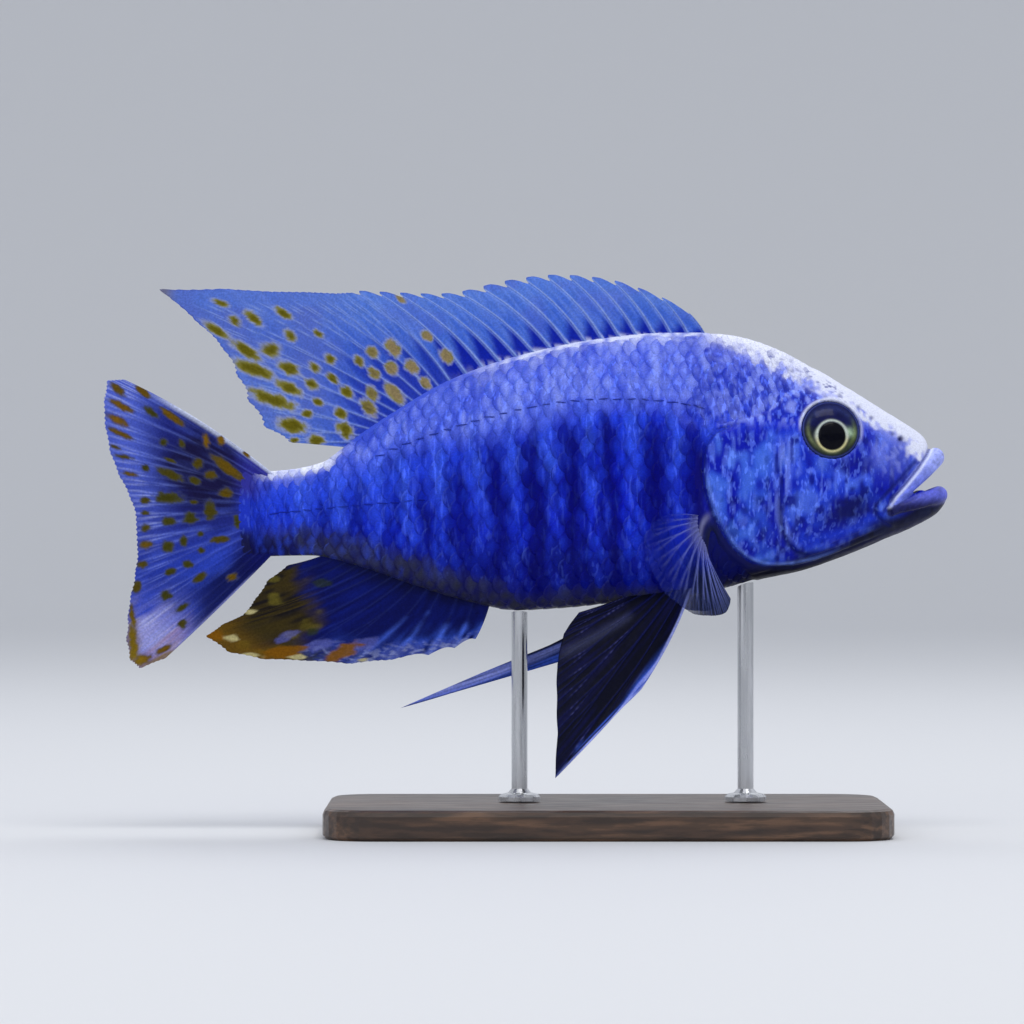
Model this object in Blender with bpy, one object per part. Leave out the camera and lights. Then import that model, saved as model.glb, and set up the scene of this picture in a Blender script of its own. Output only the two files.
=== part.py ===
"""An electric blue hap, a male cichlid fish, as a life-size still model on a plain display stand.

+X runs to the snout and +Z up. The origin is on the floor, under the middle of the model's box.
Sizes are in millimetres until a mesh is written. Heights on the fish are from its body axis.
"""

import math

import bpy
import numpy as np
from mathutils import Matrix, Vector

MM = 0.001

# Driving sizes
TOTAL_LENGTH = 168.4
SNOUT_X = 84.2
TAIL_BASE_X = -52.9
AXIS_HEIGHT = 66.2
GAP = 0.3
RING_POINTS = 28
HEAD_RINGS = 26
BODY_RINGS = 26
HEAD_START_X = 36.0

# Outline of the body: (distance along, height) of the back and of the belly
BACK = [
    (-52.9, 6.2), (-47.2, 6.6), (-41.0, 8.0), (-35.6, 11.8), (-27.6, 17.3), (-15.0, 24.5), (-2.0, 29.0),
    (14.0, 32.4), (28.0, 33.7), (38.0, 33.7), (43.0, 33.0), (50.6, 30.4), (58.6, 26.0), (64.7, 22.3),
    (70.8, 18.5), (77.6, 14.2), (79.7, 12.4), (80.5, 10.2), (82.4, 8.6), (83.8, 6.2), (84.2, 3.6),
]
BELLY = [
    (-52.9, -11.4), (-43.0, -11.2), (-34.0, -13.2), (-24.0, -16.6), (-13.0, -20.0), (-2.0, -22.1),
    (8.0, -21.6), (20.0, -20.3), (32.8, -19.3), (45.6, -16.0), (54.6, -14.1), (63.6, -11.0),
    (71.7, -7.6), (77.7, -5.0), (81.9, -2.6), (83.5, -0.6), (84.2, 1.4),
]
HALF_WIDTH = [
    (-52.9, 2.2), (-50.0, 2.9), (-42.0, 4.2), (-33.0, 5.7), (-20.0, 7.9), (-5.0, 9.9), (10.0, 11.1),
    (25.0, 11.5), (36.0, 11.4), (52.0, 10.6), (61.0, 9.6), (70.0, 8.0), (77.0, 6.3), (81.0, 4.6),
    (83.2, 2.8), (84.2, 1.0),
]
WIDEST_HEIGHT = [
    (-52.9, -2.6), (-40.0, -1.4), (-20.0, 1.0), (10.0, 4.5), (36.0, 5.5), (61.0, 4.0), (75.0, 2.6),
    (84.2, 2.2),
]
BACK_FULLNESS = [(-52.9, 1.9), (-20.0, 1.75), (20.0, 1.7), (45.0, 1.85), (62.0, 2.15), (84.2, 2.3)]
BELLY_FULLNESS = [(-52.9, 1.9), (-10.0, 2.1), (20.0, 2.35), (40.0, 2.15), (60.0, 1.95), (84.2, 2.2)]

# Seams between the parts of the body, in side view
TAIL_SEAM_X = -38.0
HEAD_SEAM = [
    (37.4, 40.0), (37.0, 25.0), (37.2, 15.4), (35.8, 12.6), (35.1, 9.6), (35.0, 6.4), (35.4, 2.6),
    (36.4, -1.2), (37.9, -4.8), (40.0, -8.2), (42.2, -11.0), (43.6, -14.0), (43.4, -20.0),
    (43.0, -28.0),
]
GILL_COVER = [
    (51.0, 14.2), (45.4, 15.2), (40.2, 14.6), (36.6, 12.0), (35.8, 8.6), (35.8, 4.8), (36.6, 0.8),
    (38.0, -3.2), (39.9, -6.8), (42.3, -9.9), (45.4, -12.1), (49.2, -13.0), (53.2, -12.8),
    (57.6, -11.9), (61.4, -10.6), (57.6, -10.5), (54.2, -9.7), (52.0, -8.0), (50.9, -5.4), (50.6, -1.0),
    (50.8, 6.6),
]
GILL_COVER_DEPTH = 3.0
GILL_COVER_RAISED = 0.5
UPPER_JAW = [
    (79.4, 11.2), (80.5, 13.0), (88.0, 13.0), (88.0, 8.0), (83.8, 7.3), (82.5, 6.6), (80.2, 4.9),
    (78.4, 3.4), (76.0, 0.9), (73.6, -0.9), (72.2, -1.1), (72.9, 0.3), (75.9, 5.0),
]
LOWER_JAW = [
    (70.6, -2.7), (72.2, -1.6), (73.6, -1.3), (76.2, 0.4), (78.7, 2.9), (80.4, 3.4), (82.6, 3.1),
    (83.8, 2.4), (84.6, 1.0), (88.0, 0.0), (88.0, -18.0), (68.0, -18.0), (68.6, -8.0), (69.4, -5.0),
]

# Lips: path from one corner round the front to the other, and the roll's thickness
LIP_HALF_SPAN = 6.5
UPPER_LIP = {"rear": (73.0, -0.4), "front": (81.6, 8.7), "roll": 1.95, "lean": 0.62}
LOWER_LIP = {"rear": (72.6, -2.3), "front": (82.4, 1.3), "roll": 1.75, "lean": 0.25}

# Eye and nostril
EYE_X, EYE_HEIGHT = 60.9, 14.2
EYE_RADIUS = 5.7
EYE_DEPTH = 3.4
EYE_PROUD = 1.7
EYE_TILT_UP = 14.0
EYE_TURN_FORWARD = 9.0
RIM_OUT = 0.5
RIM_SIZE = 0.6
RIM_LIFT = 1.05
NOSTRIL_X, NOSTRIL_HEIGHT = 74.8, 12.4
NOSTRIL_SIZE = (0.8, 0.9, 0.5)

# Dorsal fin
SPINES = 16
SPINE_ROOTS = (36.3, -14.8)
SPINE_TIPS = (32.3, -33.4)
DORSAL_MARGIN = [
    (-33.4, 41.6), (-16.0, 41.0), (-4.0, 43.5), (6.0, 44.8), (15.0, 44.2), (25.0, 41.4), (32.3, 37.8),
]
DORSAL_RAY_ROOTS = (-17.0, -35.4)
DORSAL_RAY_TIPS = [
    (-38.0, 41.4), (-43.8, 41.7), (-50.8, 41.8), (-60.2, 42.4), (-73.4, 42.3), (-65.6, 35.6),
    (-60.7, 30.6), (-57.8, 25.2), (-55.6, 20.2), (-52.2, 14.8), (-47.0, 11.7), (-41.0, 11.2),
]

# Tail fin: roots run down inside the end of the tail stalk, tips down the rear margin
TAIL_ROOT_X = -51.6
TAIL_ROOT_HEIGHTS = (4.6, -9.4)
TAIL_TIPS = [
    (-80.2, 24.2), (-83.6, 24.0), (-84.2, 20.2), (-84.1, 15.0), (-83.2, 9.8), (-81.4, 5.0),
    (-79.2, 0.6), (-77.9, -4.2), (-77.6, -9.2), (-78.0, -14.0), (-78.9, -18.6), (-79.6, -23.2),
    (-80.0, -27.6), (-79.3, -31.6), (-77.2, -33.4), (-72.2, -31.4),
]

# Anal fin
ANAL_SPINE_ROOTS = (-7.2, -13.6)
ANAL_SPINE_TIPS = [(-10.2, -27.6), (-14.4, -29.4), (-19.6, -30.8)]
ANAL_RAY_ROOTS = (-17.0, -39.6)
ANAL_RAY_TIPS = [
    (-27.4, -31.7), (-35.3, -32.5), (-44.3, -31.9), (-52.6, -31.6), (-59.4, -30.2), (-64.0, -27.0),
    (-60.6, -24.6), (-56.6, -22.8), (-54.3, -19.8), (-51.6, -15.8), (-47.6, -12.8),
]

# Pelvic fins: where a ray bends (distance along, height) and its tip (distance along, height, distance out)
PELVIC_ROOTS = ((33.4, -16.2, 3.9), (26.2, -16.2, 2.9))
PELVIC_SPREAD = [
    ((28.6, -27.0), (22.4, -37.6, 11.6)), ((20.0, -37.6), (5.6, -54.4, 21.0)),
    ((19.2, -32.4), (6.1, -45.8, 17.0)), ((18.4, -28.8), (6.0, -38.8, 13.6)),
    ((17.8, -25.2), (6.1, -32.4, 10.4)), ((17.8, -21.6), (8.0, -26.0, 7.2)),
]
PELVIC_FOLDED = [
    ((19.8, -26.8), (7.0, -32.2, 5.0)), ((9.5, -32.2), (-25.3, -41.6, 5.4)),
    ((12.0, -28.0), (-9.0, -34.5, 5.0)), ((17.0, -23.6), (4.5, -29.0, 4.4)),
    ((21.8, -19.4), (16.4, -23.0, 3.8)),
]

# Pectoral fins: (distance along, height, distance out) of the root's ends and of tips down the margin
PECTORAL_ROOTS = ((34.5, -2.9), (35.0, -9.4))
PECTORAL_RAYS = 12
PECTORAL_TIPS = [
    (27.4, -2.6, 21.0), (22.8, -5.8, 26.5), (23.4, -11.8, 29.5), (27.0, -18.4, 30.0),
    (32.4, -23.0, 28.0), (37.6, -23.4, 25.0), (40.8, -19.6, 20.5),
]

# Fin thickness, half each way from the middle of the sheet
MEMBRANE_HALF = 0.27
MARGIN_HALF = 0.16

# Stand
BASE_SIZE = (112.0, 66.0, 6.0)
BASE_CENTRE_X = 16.0
BASE_CORNER = 10.0
BASE_CHAMFER = 0.8
ROD_RADIUS = 1.6
ROD_FOOT_RADIUS = 4.2
RODS = {"stand_rod_front": 43.8, "stand_rod_rear": -1.4}


def clear_scene():
    for obj in list(bpy.data.objects):
        bpy.data.objects.remove(obj, do_unlink=True)


def curve(points):
    """A smooth function through hand-set (station, value) points, with slopes that never overshoot."""
    xs = np.array([p[0] for p in points], float)
    ys = np.array([p[1] for p in points], float)
    rise = np.diff(ys) / np.diff(xs)
    slopes = np.empty_like(ys)
    slopes[0], slopes[-1] = rise[0], rise[-1]
    for i in range(1, len(ys) - 1):
        before, after = rise[i - 1], rise[i]
        slopes[i] = 0.0 if before * after <= 0 else 2 * before * after / (before + after)

    def value(x):
        i = int(np.clip(np.searchsorted(xs, x) - 1, 0, len(xs) - 2))
        span = xs[i + 1] - xs[i]
        t = min(max((x - xs[i]) / span, 0.0), 1.0)
        start = (2 * t**3 - 3 * t**2 + 1) * ys[i] + (t**3 - 2 * t**2 + t) * span * slopes[i]
        end = (3 * t**2 - 2 * t**3) * ys[i + 1] + (t**3 - t**2) * span * slopes[i + 1]
        return float(start + end)

    return value


back = curve(BACK)
belly = curve(BELLY)
half_width = curve(HALF_WIDTH)
widest_height = curve(WIDEST_HEIGHT)
back_fullness = curve(BACK_FULLNESS)
belly_fullness = curve(BELLY_FULLNESS)
dorsal_margin = curve(DORSAL_MARGIN)


def section_point(x, angle, grow=0.0, widen=0.0):
    """A point of the body's cross-section at x. Angle 0 is the +Y side and 90 degrees the back."""
    middle = widest_height(x)
    c, s = math.cos(angle), math.sin(angle)
    if s >= 0:
        reach, fullness = back(x) + grow - middle, back_fullness(x)
    else:
        reach, fullness = middle - belly(x) + grow, belly_fullness(x)
    y = math.copysign(abs(c) ** (2 / fullness), c) * max(half_width(x) + grow + widen, 0.4)
    z = middle + math.copysign(abs(s) ** (2 / fullness), s) * reach
    return y, z


def flank_y(x, z):
    """How far the skin is from the middle plane at that height."""
    middle = widest_height(x)
    above = z >= middle
    reach = back(x) - middle if above else middle - belly(x)
    fullness = back_fullness(x) if above else belly_fullness(x)
    share = min(abs(z - middle) / reach, 1.0)
    return half_width(x) * (1 - share**fullness) ** (1 / fullness)


def materials():
    """One material for each finish: colour, roughness, metallic."""
    finishes = {
        "skin_blue": ((0.03, 0.07, 0.62), 0.38, 0.1),
        "gill_blue": ((0.05, 0.14, 0.72), 0.35, 0.1),
        "lip_blue": ((0.10, 0.18, 0.70), 0.35, 0.0),
        "dorsal_blue": ((0.10, 0.22, 0.75), 0.45, 0.0),
        "tail_blue": ((0.08, 0.14, 0.50), 0.45, 0.0),
        "anal_olive": ((0.10, 0.10, 0.22), 0.45, 0.0),
        "pelvic_dark": ((0.02, 0.03, 0.16), 0.45, 0.0),
        "pectoral_pale": ((0.16, 0.22, 0.55), 0.40, 0.0),
        "eye_dark": ((0.01, 0.015, 0.05), 0.08, 0.0),
        "base_wood": ((0.09, 0.045, 0.022), 0.40, 0.0),
        "rod_steel": ((0.62, 0.63, 0.65), 0.28, 1.0),
    }
    made = {}
    for name, (colour, roughness, metallic) in finishes.items():
        material = bpy.data.materials.new(name)
        material.use_nodes = True
        shader = material.node_tree.nodes["Principled BSDF"]
        shader.inputs["Base Color"].default_value = (*colour, 1.0)
        shader.inputs["Roughness"].default_value = roughness
        shader.inputs["Metallic"].default_value = metallic
        material.diffuse_color = (*colour, 1.0)
        made[name] = material
    return made


def add_mesh(name, points, faces, material=None, lift=AXIS_HEIGHT):
    """A mesh object from points in millimetres, raised from the body axis to its place over the floor."""
    mesh = bpy.data.meshes.new(name)
    mesh.from_pydata([(x * MM, y * MM, (z + lift) * MM) for x, y, z in points], [], faces)
    mesh.validate()
    obj = bpy.data.objects.new(name, mesh)
    bpy.context.scene.collection.objects.link(obj)
    if material:
        mesh.materials.append(material)
    return obj


def remove(*objects):
    for obj in objects:
        mesh = obj.data
        bpy.data.objects.remove(obj, do_unlink=True)
        bpy.data.meshes.remove(mesh)


def boolean(obj, other, operation, keep_other=False):
    """Joins, cuts or trims obj by other, and keeps the result as obj's own mesh."""
    for solver in ("EXACT", "MANIFOLD"):
        modifier = obj.modifiers.new(operation.lower(), "BOOLEAN")
        modifier.operation = operation
        modifier.solver = solver
        modifier.object = other
        graph = bpy.context.evaluated_depsgraph_get()
        mesh = bpy.data.meshes.new_from_object(obj.evaluated_get(graph))
        obj.modifiers.clear()
        if len(mesh.polygons):
            break
        bpy.data.meshes.remove(mesh)
    old = obj.data
    obj.data = mesh
    bpy.data.meshes.remove(old)
    if not keep_other:
        remove(other)
    return obj


def keep_largest(obj):
    """Drops loose scraps that a cut leaves: only the largest connected surface stays."""
    mesh = obj.data
    group = list(range(len(mesh.vertices)))

    def leader(i):
        while group[i] != i:
            group[i] = group[group[i]]
            i = group[i]
        return i

    for edge in mesh.edges:
        a, b = leader(edge.vertices[0]), leader(edge.vertices[1])
        group[a] = b
    found = {}
    for polygon in mesh.polygons:
        found.setdefault(leader(polygon.vertices[0]), []).append(polygon)
    if len(found) < 2:
        return obj
    largest = max(found.values(), key=lambda faces: sum(f.area for f in faces))
    used = sorted({v for face in largest for v in face.vertices})
    index = {v: i for i, v in enumerate(used)}
    kept = bpy.data.meshes.new(obj.name)
    points = [tuple(mesh.vertices[v].co) for v in used]
    kept.from_pydata(points, [], [[index[v] for v in face.vertices] for face in largest])
    for material in mesh.materials:
        kept.materials.append(material)
    obj.data = kept
    bpy.data.meshes.remove(mesh)
    return obj


def shade(obj, angle=40.0):
    obj.data.shade_smooth()
    obj.data.set_sharp_from_angle(angle=math.radians(angle))
    return obj


def body_stations():
    """Ring positions from the tail base to the snout, closer together where the head closes."""
    rear = np.linspace(TAIL_BASE_X, HEAD_START_X, BODY_RINGS, endpoint=False)
    turn = np.linspace(0, 1, HEAD_RINGS)
    front = HEAD_START_X + (SNOUT_X - HEAD_START_X) * (1 - (1 - turn) ** 1.35)
    return list(rear) + list(front)


def body_mesh(name, grow=0.0, widen=0.0, material=None):
    """The whole body as one closed loft. grow moves its surface out all round, widen only sideways."""
    points, faces = [], []
    stations = body_stations()
    count = RING_POINTS
    for x in stations:
        for k in range(count):
            y, z = section_point(x, 2 * math.pi * k / count, grow, widen)
            points.append((x, y, z))
    # The end rings move out along the body too
    for k in range(count):
        for end, shift in ((k, -grow), (len(points) - count + k, grow)):
            x, y, z = points[end]
            points[end] = (x + shift, y, z)
    for r in range(len(stations) - 1):
        for k in range(count):
            a, b = r * count + k, r * count + (k + 1) % count
            faces.append((a, a + count, b + count, b))
    faces.append(tuple(range(count)))
    last = (len(stations) - 1) * count
    faces.append(tuple(range(last + count - 1, last - 1, -1)))
    return face_out(add_mesh(name, points, faces, material))


def prism(name, outline, low=-40.0, high=40.0):
    """A side-view outline pushed through from one side to the other."""
    area = sum(a[0] * b[1] - b[0] * a[1] for a, b in zip(outline, outline[1:] + outline[:1]))
    ordered = outline if area > 0 else outline[::-1]
    n = len(ordered)
    points = [(x, low, z) for x, z in ordered] + [(x, high, z) for x, z in ordered]
    faces = [tuple(range(n)), tuple(range(2 * n - 1, n - 1, -1))]
    faces += [(i, i + n, (i + 1) % n + n, (i + 1) % n) for i in range(n)]
    return add_mesh(name, points, faces)


def grown(outline, distance):
    """The outline moved out by distance, corner by corner."""
    n = len(outline)
    area = sum(a[0] * b[1] - b[0] * a[1] for a, b in zip(outline, outline[1:] + outline[:1]))
    side = 1.0 if area > 0 else -1.0
    moved = []
    for i in range(n):
        before, here, after = (Vector(outline[j % n]) for j in (i - 1, i, i + 1))
        first, second = (here - before).normalized(), (after - here).normalized()
        normal = Vector((first.y + second.y, -first.x - second.x)) * side
        normal.normalize()
        stretch = 1 / max(normal.dot(Vector((first.y, -first.x)) * side), 0.4)
        moved.append(tuple(here + normal * distance * stretch))
    return moved


def ellipsoid(name, radii, centre, turn=None, rings=10, sides=20, material=None):
    """A closed ellipsoid whose poles lie on its own Y axis, turned, then set at centre."""
    turn = turn or Matrix.Identity(3)
    points, faces = [], []
    for i in range(1, rings):
        pitch = math.pi * i / rings
        for k in range(sides):
            yaw = 2 * math.pi * k / sides
            out = math.sin(pitch)
            points.append(Vector((out * math.cos(yaw), math.cos(pitch), out * math.sin(yaw))))
    points += [Vector((0, 1, 0)), Vector((0, -1, 0))]
    for i in range(rings - 2):
        for k in range(sides):
            a, b = i * sides + k, i * sides + (k + 1) % sides
            faces.append((a, a + sides, b + sides, b))
    north, south = len(points) - 2, len(points) - 1
    low = (rings - 2) * sides
    for k in range(sides):
        faces.append((north, k, (k + 1) % sides))
        faces.append((south, low + (k + 1) % sides, low + k))
    place = [turn @ Vector((p.x * radii[0], p.y * radii[1], p.z * radii[2])) + Vector(centre) for p in points]
    obj = add_mesh(name, [tuple(p) for p in place], faces, material)
    return face_out(obj)


def face_out(obj):
    """Turns every face over where the mesh encloses a negative volume."""
    mesh = obj.data
    mesh.calc_loop_triangles()
    volume = 0.0
    for triangle in mesh.loop_triangles:
        a, b, c = (mesh.vertices[v].co for v in triangle.vertices)
        volume += a.dot(b.cross(c))
    if volume < 0:
        mesh.flip_normals()
    return obj


def lip(name, spec):
    """A rolled lip as a tube round the front of the mouth, from one corner to the other."""
    steps, sides = 20, 9
    centres = []
    for i in range(steps + 1):
        angle = math.pi * (i / steps - 0.5)
        share = math.cos(angle) ** 0.8
        x, z = (a + (b - a) * share for a, b in zip(spec["rear"], spec["front"]))
        centres.append(Vector((x, LIP_HALF_SPAN * math.sin(angle), z)))
    points, faces = [], []
    for i, centre in enumerate(centres):
        along = (centres[min(i + 1, steps)] - centres[max(i - 1, 0)]).normalized()
        side = along.cross(Vector((-spec["lean"], 0, 1)).normalized()).normalized()
        up = side.cross(along).normalized()
        full = spec["roll"] * (0.45 + 0.55 * math.sin(math.pi * i / steps) ** 0.7)
        for k in range(sides):
            angle = 2 * math.pi * k / sides
            points.append(centre + side * full * math.cos(angle) + up * full * math.sin(angle))
    for i in range(steps):
        for k in range(sides):
            a, b = i * sides + k, i * sides + (k + 1) % sides
            faces.append((a, b, b + sides, a + sides))
    faces.append(tuple(range(sides - 1, -1, -1)))
    faces.append(tuple(range(steps * sides, (steps + 1) * sides)))
    return face_out(add_mesh(name, [tuple(p) for p in points], faces))


def eye_turn(side):
    """How the eye lies in the head: facing out, a little up and forward."""
    up = Matrix.Rotation(math.radians(EYE_TILT_UP * side), 3, "X")
    forward = Matrix.Rotation(math.radians(-EYE_TURN_FORWARD * side), 3, "Z")
    return forward @ up


def eye_centre(side):
    return (EYE_X, side * (flank_y(EYE_X, EYE_HEIGHT) + EYE_PROUD - EYE_DEPTH), EYE_HEIGHT)


def orbit_rim(side):
    """The low fold of skin round the eye, as a ring that lies on the cheek."""
    turn, centre = eye_turn(side), Vector(eye_centre(side))
    rings, sides = 24, 6
    points, faces = [], []
    for i in range(rings):
        yaw = 2 * math.pi * i / rings
        for k in range(sides):
            angle = 2 * math.pi * k / sides
            reach = EYE_RADIUS + RIM_OUT + RIM_SIZE * math.cos(angle)
            lift = RIM_LIFT + RIM_SIZE * math.sin(angle)
            local = Vector((reach * math.cos(yaw), side * lift, reach * math.sin(yaw)))
            points.append(tuple(turn @ local + centre))
    for i in range(rings):
        for k in range(sides):
            a, b = i * sides + k, i * sides + (k + 1) % sides
            c, d = ((i + 1) % rings) * sides + (k + 1) % sides, ((i + 1) % rings) * sides + k
            faces.append((a, b, c, d))
    return face_out(add_mesh("rim", points, faces))


def body_parts(looks):
    """Head, jaws, gill covers, torso and tail stalk, cut from one loft with a gap between neighbours."""
    far = 120.0
    head_seam_front = [(x + GAP / 2, z) for x, z in HEAD_SEAM]
    head_seam_rear = [(x - GAP / 2, z) for x, z in HEAD_SEAM]

    tail_stalk = body_mesh("tail_stalk", material=looks["skin_blue"])
    stalk_outline = [(-far, -40), (-far, 50), (TAIL_SEAM_X, 50), (TAIL_SEAM_X, -40)]
    boolean(tail_stalk, prism("cut", stalk_outline), "INTERSECT")

    torso = body_mesh("torso", material=looks["skin_blue"])
    torso_outline = head_seam_rear + [(TAIL_SEAM_X + GAP, -28), (TAIL_SEAM_X + GAP, 40)]
    boolean(torso, prism("cut", torso_outline), "INTERSECT")

    head = body_mesh("head", material=looks["skin_blue"])
    boolean(head, prism("cut", head_seam_front + [(far, -28), (far, 40)]), "INTERSECT")
    mouth_opening = [
        (90.0, 3.0), (79.0, 3.0), (72.6, -1.6), (72.2, -1.0), (78.6, 4.2), (82.6, 7.0), (90.0, 7.0),
    ]
    boolean(head, prism("cut", grown(UPPER_JAW, GAP)), "DIFFERENCE")
    boolean(head, prism("cut", grown(LOWER_JAW, GAP)), "DIFFERENCE")
    boolean(head, prism("cut", mouth_opening), "DIFFERENCE")

    for side, name in ((1, "left"), (-1, "right")):
        low, high = (0.5, 40.0) if side > 0 else (-40.0, -0.5)
        recess = prism("recess", grown(GILL_COVER, GAP), low, high)
        boolean(recess, body_mesh("core", -0.4, 0.4 - GILL_COVER_DEPTH - GAP), "DIFFERENCE")
        boolean(head, keep_largest(recess), "DIFFERENCE")
        cover = body_mesh("gill_cover_" + name, widen=GILL_COVER_RAISED, material=looks["gill_blue"])
        boolean(cover, prism("cut", GILL_COVER, low, high), "INTERSECT")
        boolean(cover, body_mesh("core", -0.1, 0.1 - GILL_COVER_DEPTH), "DIFFERENCE")
        keep_largest(cover)
        boolean(head, orbit_rim(side), "UNION")
        eye_radii = (EYE_RADIUS, EYE_DEPTH, EYE_RADIUS)
        ellipsoid("eye_" + name, eye_radii, eye_centre(side), eye_turn(side), 9, 20, looks["eye_dark"])
        socket_radii = tuple(r + GAP for r in eye_radii)
        socket = ellipsoid("socket", socket_radii, eye_centre(side), eye_turn(side), 9, 20)
        boolean(head, socket, "DIFFERENCE")
        nostril_y = side * flank_y(NOSTRIL_X, NOSTRIL_HEIGHT)
        pit = ellipsoid("pit", NOSTRIL_SIZE, (NOSTRIL_X, nostril_y, NOSTRIL_HEIGHT), None, 5, 8)
        boolean(head, pit, "DIFFERENCE")
    keep_largest(head)

    upper = body_mesh("upper_jaw", material=looks["lip_blue"])
    boolean(upper, lip("roll", UPPER_LIP), "UNION")
    boolean(upper, prism("cut", UPPER_JAW), "INTERSECT")
    keep_largest(upper)
    lower = body_mesh("lower_jaw", material=looks["lip_blue"])
    boolean(lower, lip("roll", LOWER_LIP), "UNION")
    boolean(lower, prism("cut", LOWER_JAW), "INTERSECT")
    keep_largest(lower)


def bent(root, tip, via, share):
    """A point at share of the way along a bent ray from root to tip, drawn towards via."""
    return root * (1 - share) ** 2 + via * (2 * share * (1 - share)) + tip * share**2


def spread(points, count):
    """count points evenly spaced by index along a polyline of hand-set points."""
    places = []
    for i in range(count):
        t = i * (len(points) - 1) / (count - 1)
        k = min(int(t), len(points) - 2)
        places.append(Vector(points[k]).lerp(Vector(points[k + 1]), t - k))
    return places


def columns_of(rays, ridge_width, notch_behind, notch_middle, ridge):
    """Grid columns across a fin: both flanks and the crest of every ray, and the web between two rays.

    Each column is a list of points with the share of the ridge's height that it carries.
    """
    columns = []

    def between(a, b, distance, cut):
        column = []
        for p, q in zip(a, b):
            gap = (q - p).length
            column.append(p.lerp(q, min(distance / max(gap, 1e-6), 0.3) if distance else 0.5))
        back_off = (column[-2] - column[-1]).normalized() * cut
        column[-1] = column[-1] + back_off
        return column

    for i, ray in enumerate(rays):
        if i:
            columns.append((between(ray, rays[i - 1], ridge_width, 0.15 * notch_behind), 0.0))
        columns.append((ray, ridge))
        if i < len(rays) - 1:
            columns.append((between(ray, rays[i + 1], ridge_width, notch_behind), 0.0))
            columns.append((between(ray, rays[i + 1], 0.0, notch_middle), 0.0))
    return columns


def fin(name, columns, shares, root_half, material, wave=None, flat=True):
    """A closed fin from grid columns: a thin sheet with its rays as ridges, split alike on both faces.

    A flat fin takes its thickness straight across the fish, any other one square to its own sheet.
    """
    grid = np.array([[tuple(p) for p in column] for column, _ in columns])
    if wave:
        for i in range(grid.shape[0]):
            for j in range(grid.shape[1]):
                grid[i, j, 1] += wave(grid[i, j, 0], grid[i, j, 2], shares[j])
    normal = np.cross(np.gradient(grid, axis=0), np.gradient(grid, axis=1))
    normal /= np.linalg.norm(normal, axis=2, keepdims=True)
    if flat:
        normal = np.zeros_like(grid) + np.array([0.0, 1.0, 0.0])
    half = np.empty(grid.shape[:2])
    for j, share in enumerate(shares):
        base = MEMBRANE_HALF + (root_half - MEMBRANE_HALF) * max(0.0, 1 - share / 0.35) ** 1.5
        base = base if share < 0.85 else MEMBRANE_HALF + (MARGIN_HALF - MEMBRANE_HALF) * (share - 0.85) / 0.15
        for i, (_, ridge) in enumerate(columns):
            half[i, j] = base + ridge * (1 - 0.75 * share)
    front = grid + normal * half[..., None]
    rear = grid - normal * half[..., None]
    wide, tall = grid.shape[:2]
    points = [tuple(p) for p in front.reshape(-1, 3)] + [tuple(p) for p in rear.reshape(-1, 3)]
    offset = wide * tall
    faces = []
    for i in range(wide - 1):
        for j in range(tall - 1):
            a, b, c, d = i * tall + j, (i + 1) * tall + j, (i + 1) * tall + j + 1, i * tall + j + 1
            faces += [(a, b, c), (a, c, d)]
            faces += [(offset + a, offset + c, offset + b), (offset + a, offset + d, offset + c)]
    rim = [i * tall for i in range(wide)] + [(wide - 1) * tall + j for j in range(1, tall)]
    rim += [i * tall + tall - 1 for i in range(wide - 2, -1, -1)] + [j for j in range(tall - 2, 0, -1)]
    for a, b in zip(rim, rim[1:] + rim[:1]):
        faces += [(b, a, offset + a), (b, offset + a, offset + b)]
    return face_out(add_mesh(name, points, faces, material))


def on_back(x, depth=1.3):
    return Vector((x, 0.0, back(x) - depth))


def on_belly(x, depth=1.3):
    return Vector((x, 0.0, belly(x) + depth))


def dorsal_fin(looks, skin):
    """The long fin on the back: a spiny front part and a soft rear part drawn out to a point."""
    shares = [0.0, 0.28, 0.56, 0.84, 1.0]
    spines = []
    for i in range(SPINES):
        t = i / (SPINES - 1)
        root = on_back(SPINE_ROOTS[0] + (SPINE_ROOTS[1] - SPINE_ROOTS[0]) * t)
        tip_x = SPINE_TIPS[0] + (SPINE_TIPS[1] - SPINE_TIPS[0]) * t**0.93
        tip = Vector((tip_x, 0.0, dorsal_margin(tip_x)))
        via = Vector((root.x + (tip.x - root.x) * 0.38, 0.0, root.z + (tip.z - root.z) * 0.6))
        spines.append([bent(root, tip, via, s) for s in shares])
    rays = []
    for i, (x, z) in enumerate(DORSAL_RAY_TIPS):
        t = i / (len(DORSAL_RAY_TIPS) - 1)
        root = on_back(DORSAL_RAY_ROOTS[0] + (DORSAL_RAY_ROOTS[1] - DORSAL_RAY_ROOTS[0]) * t)
        tip = Vector((x, 0.0, z))
        lift = 0.58 - 0.12 * t
        via = Vector((root.x + (tip.x - root.x) * 0.42, 0.0, root.z + (tip.z - root.z) * lift))
        rays.append([bent(root, tip, via, s) for s in shares])

    def wave(x, z, share):
        return 0.7 * share * math.sin(0.11 * (x + 12.0))

    last, first = spines[-1], rays[0]
    seam_rear, seam_front = [], []
    for a, b in zip(last, first):
        middle, step = (a + b) / 2, (b - a).normalized() * GAP / 2
        seam_front.append(middle - step)
        seam_rear.append(middle + step)
    spiny = columns_of(spines, 0.42, 1.1, -1.1, 0.3) + [(seam_front, 0.0)]
    soft = [(seam_rear, 0.0)] + columns_of(rays, 0.36, 0.3, -0.45, 0.24)
    for name, columns in (("dorsal_fin_spiny", spiny), ("dorsal_fin_soft", soft)):
        obj = fin(name, columns, shares, 0.75, looks["dorsal_blue"], wave)
        boolean(obj, skin, "DIFFERENCE", keep_other=True)
        keep_largest(obj)


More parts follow.
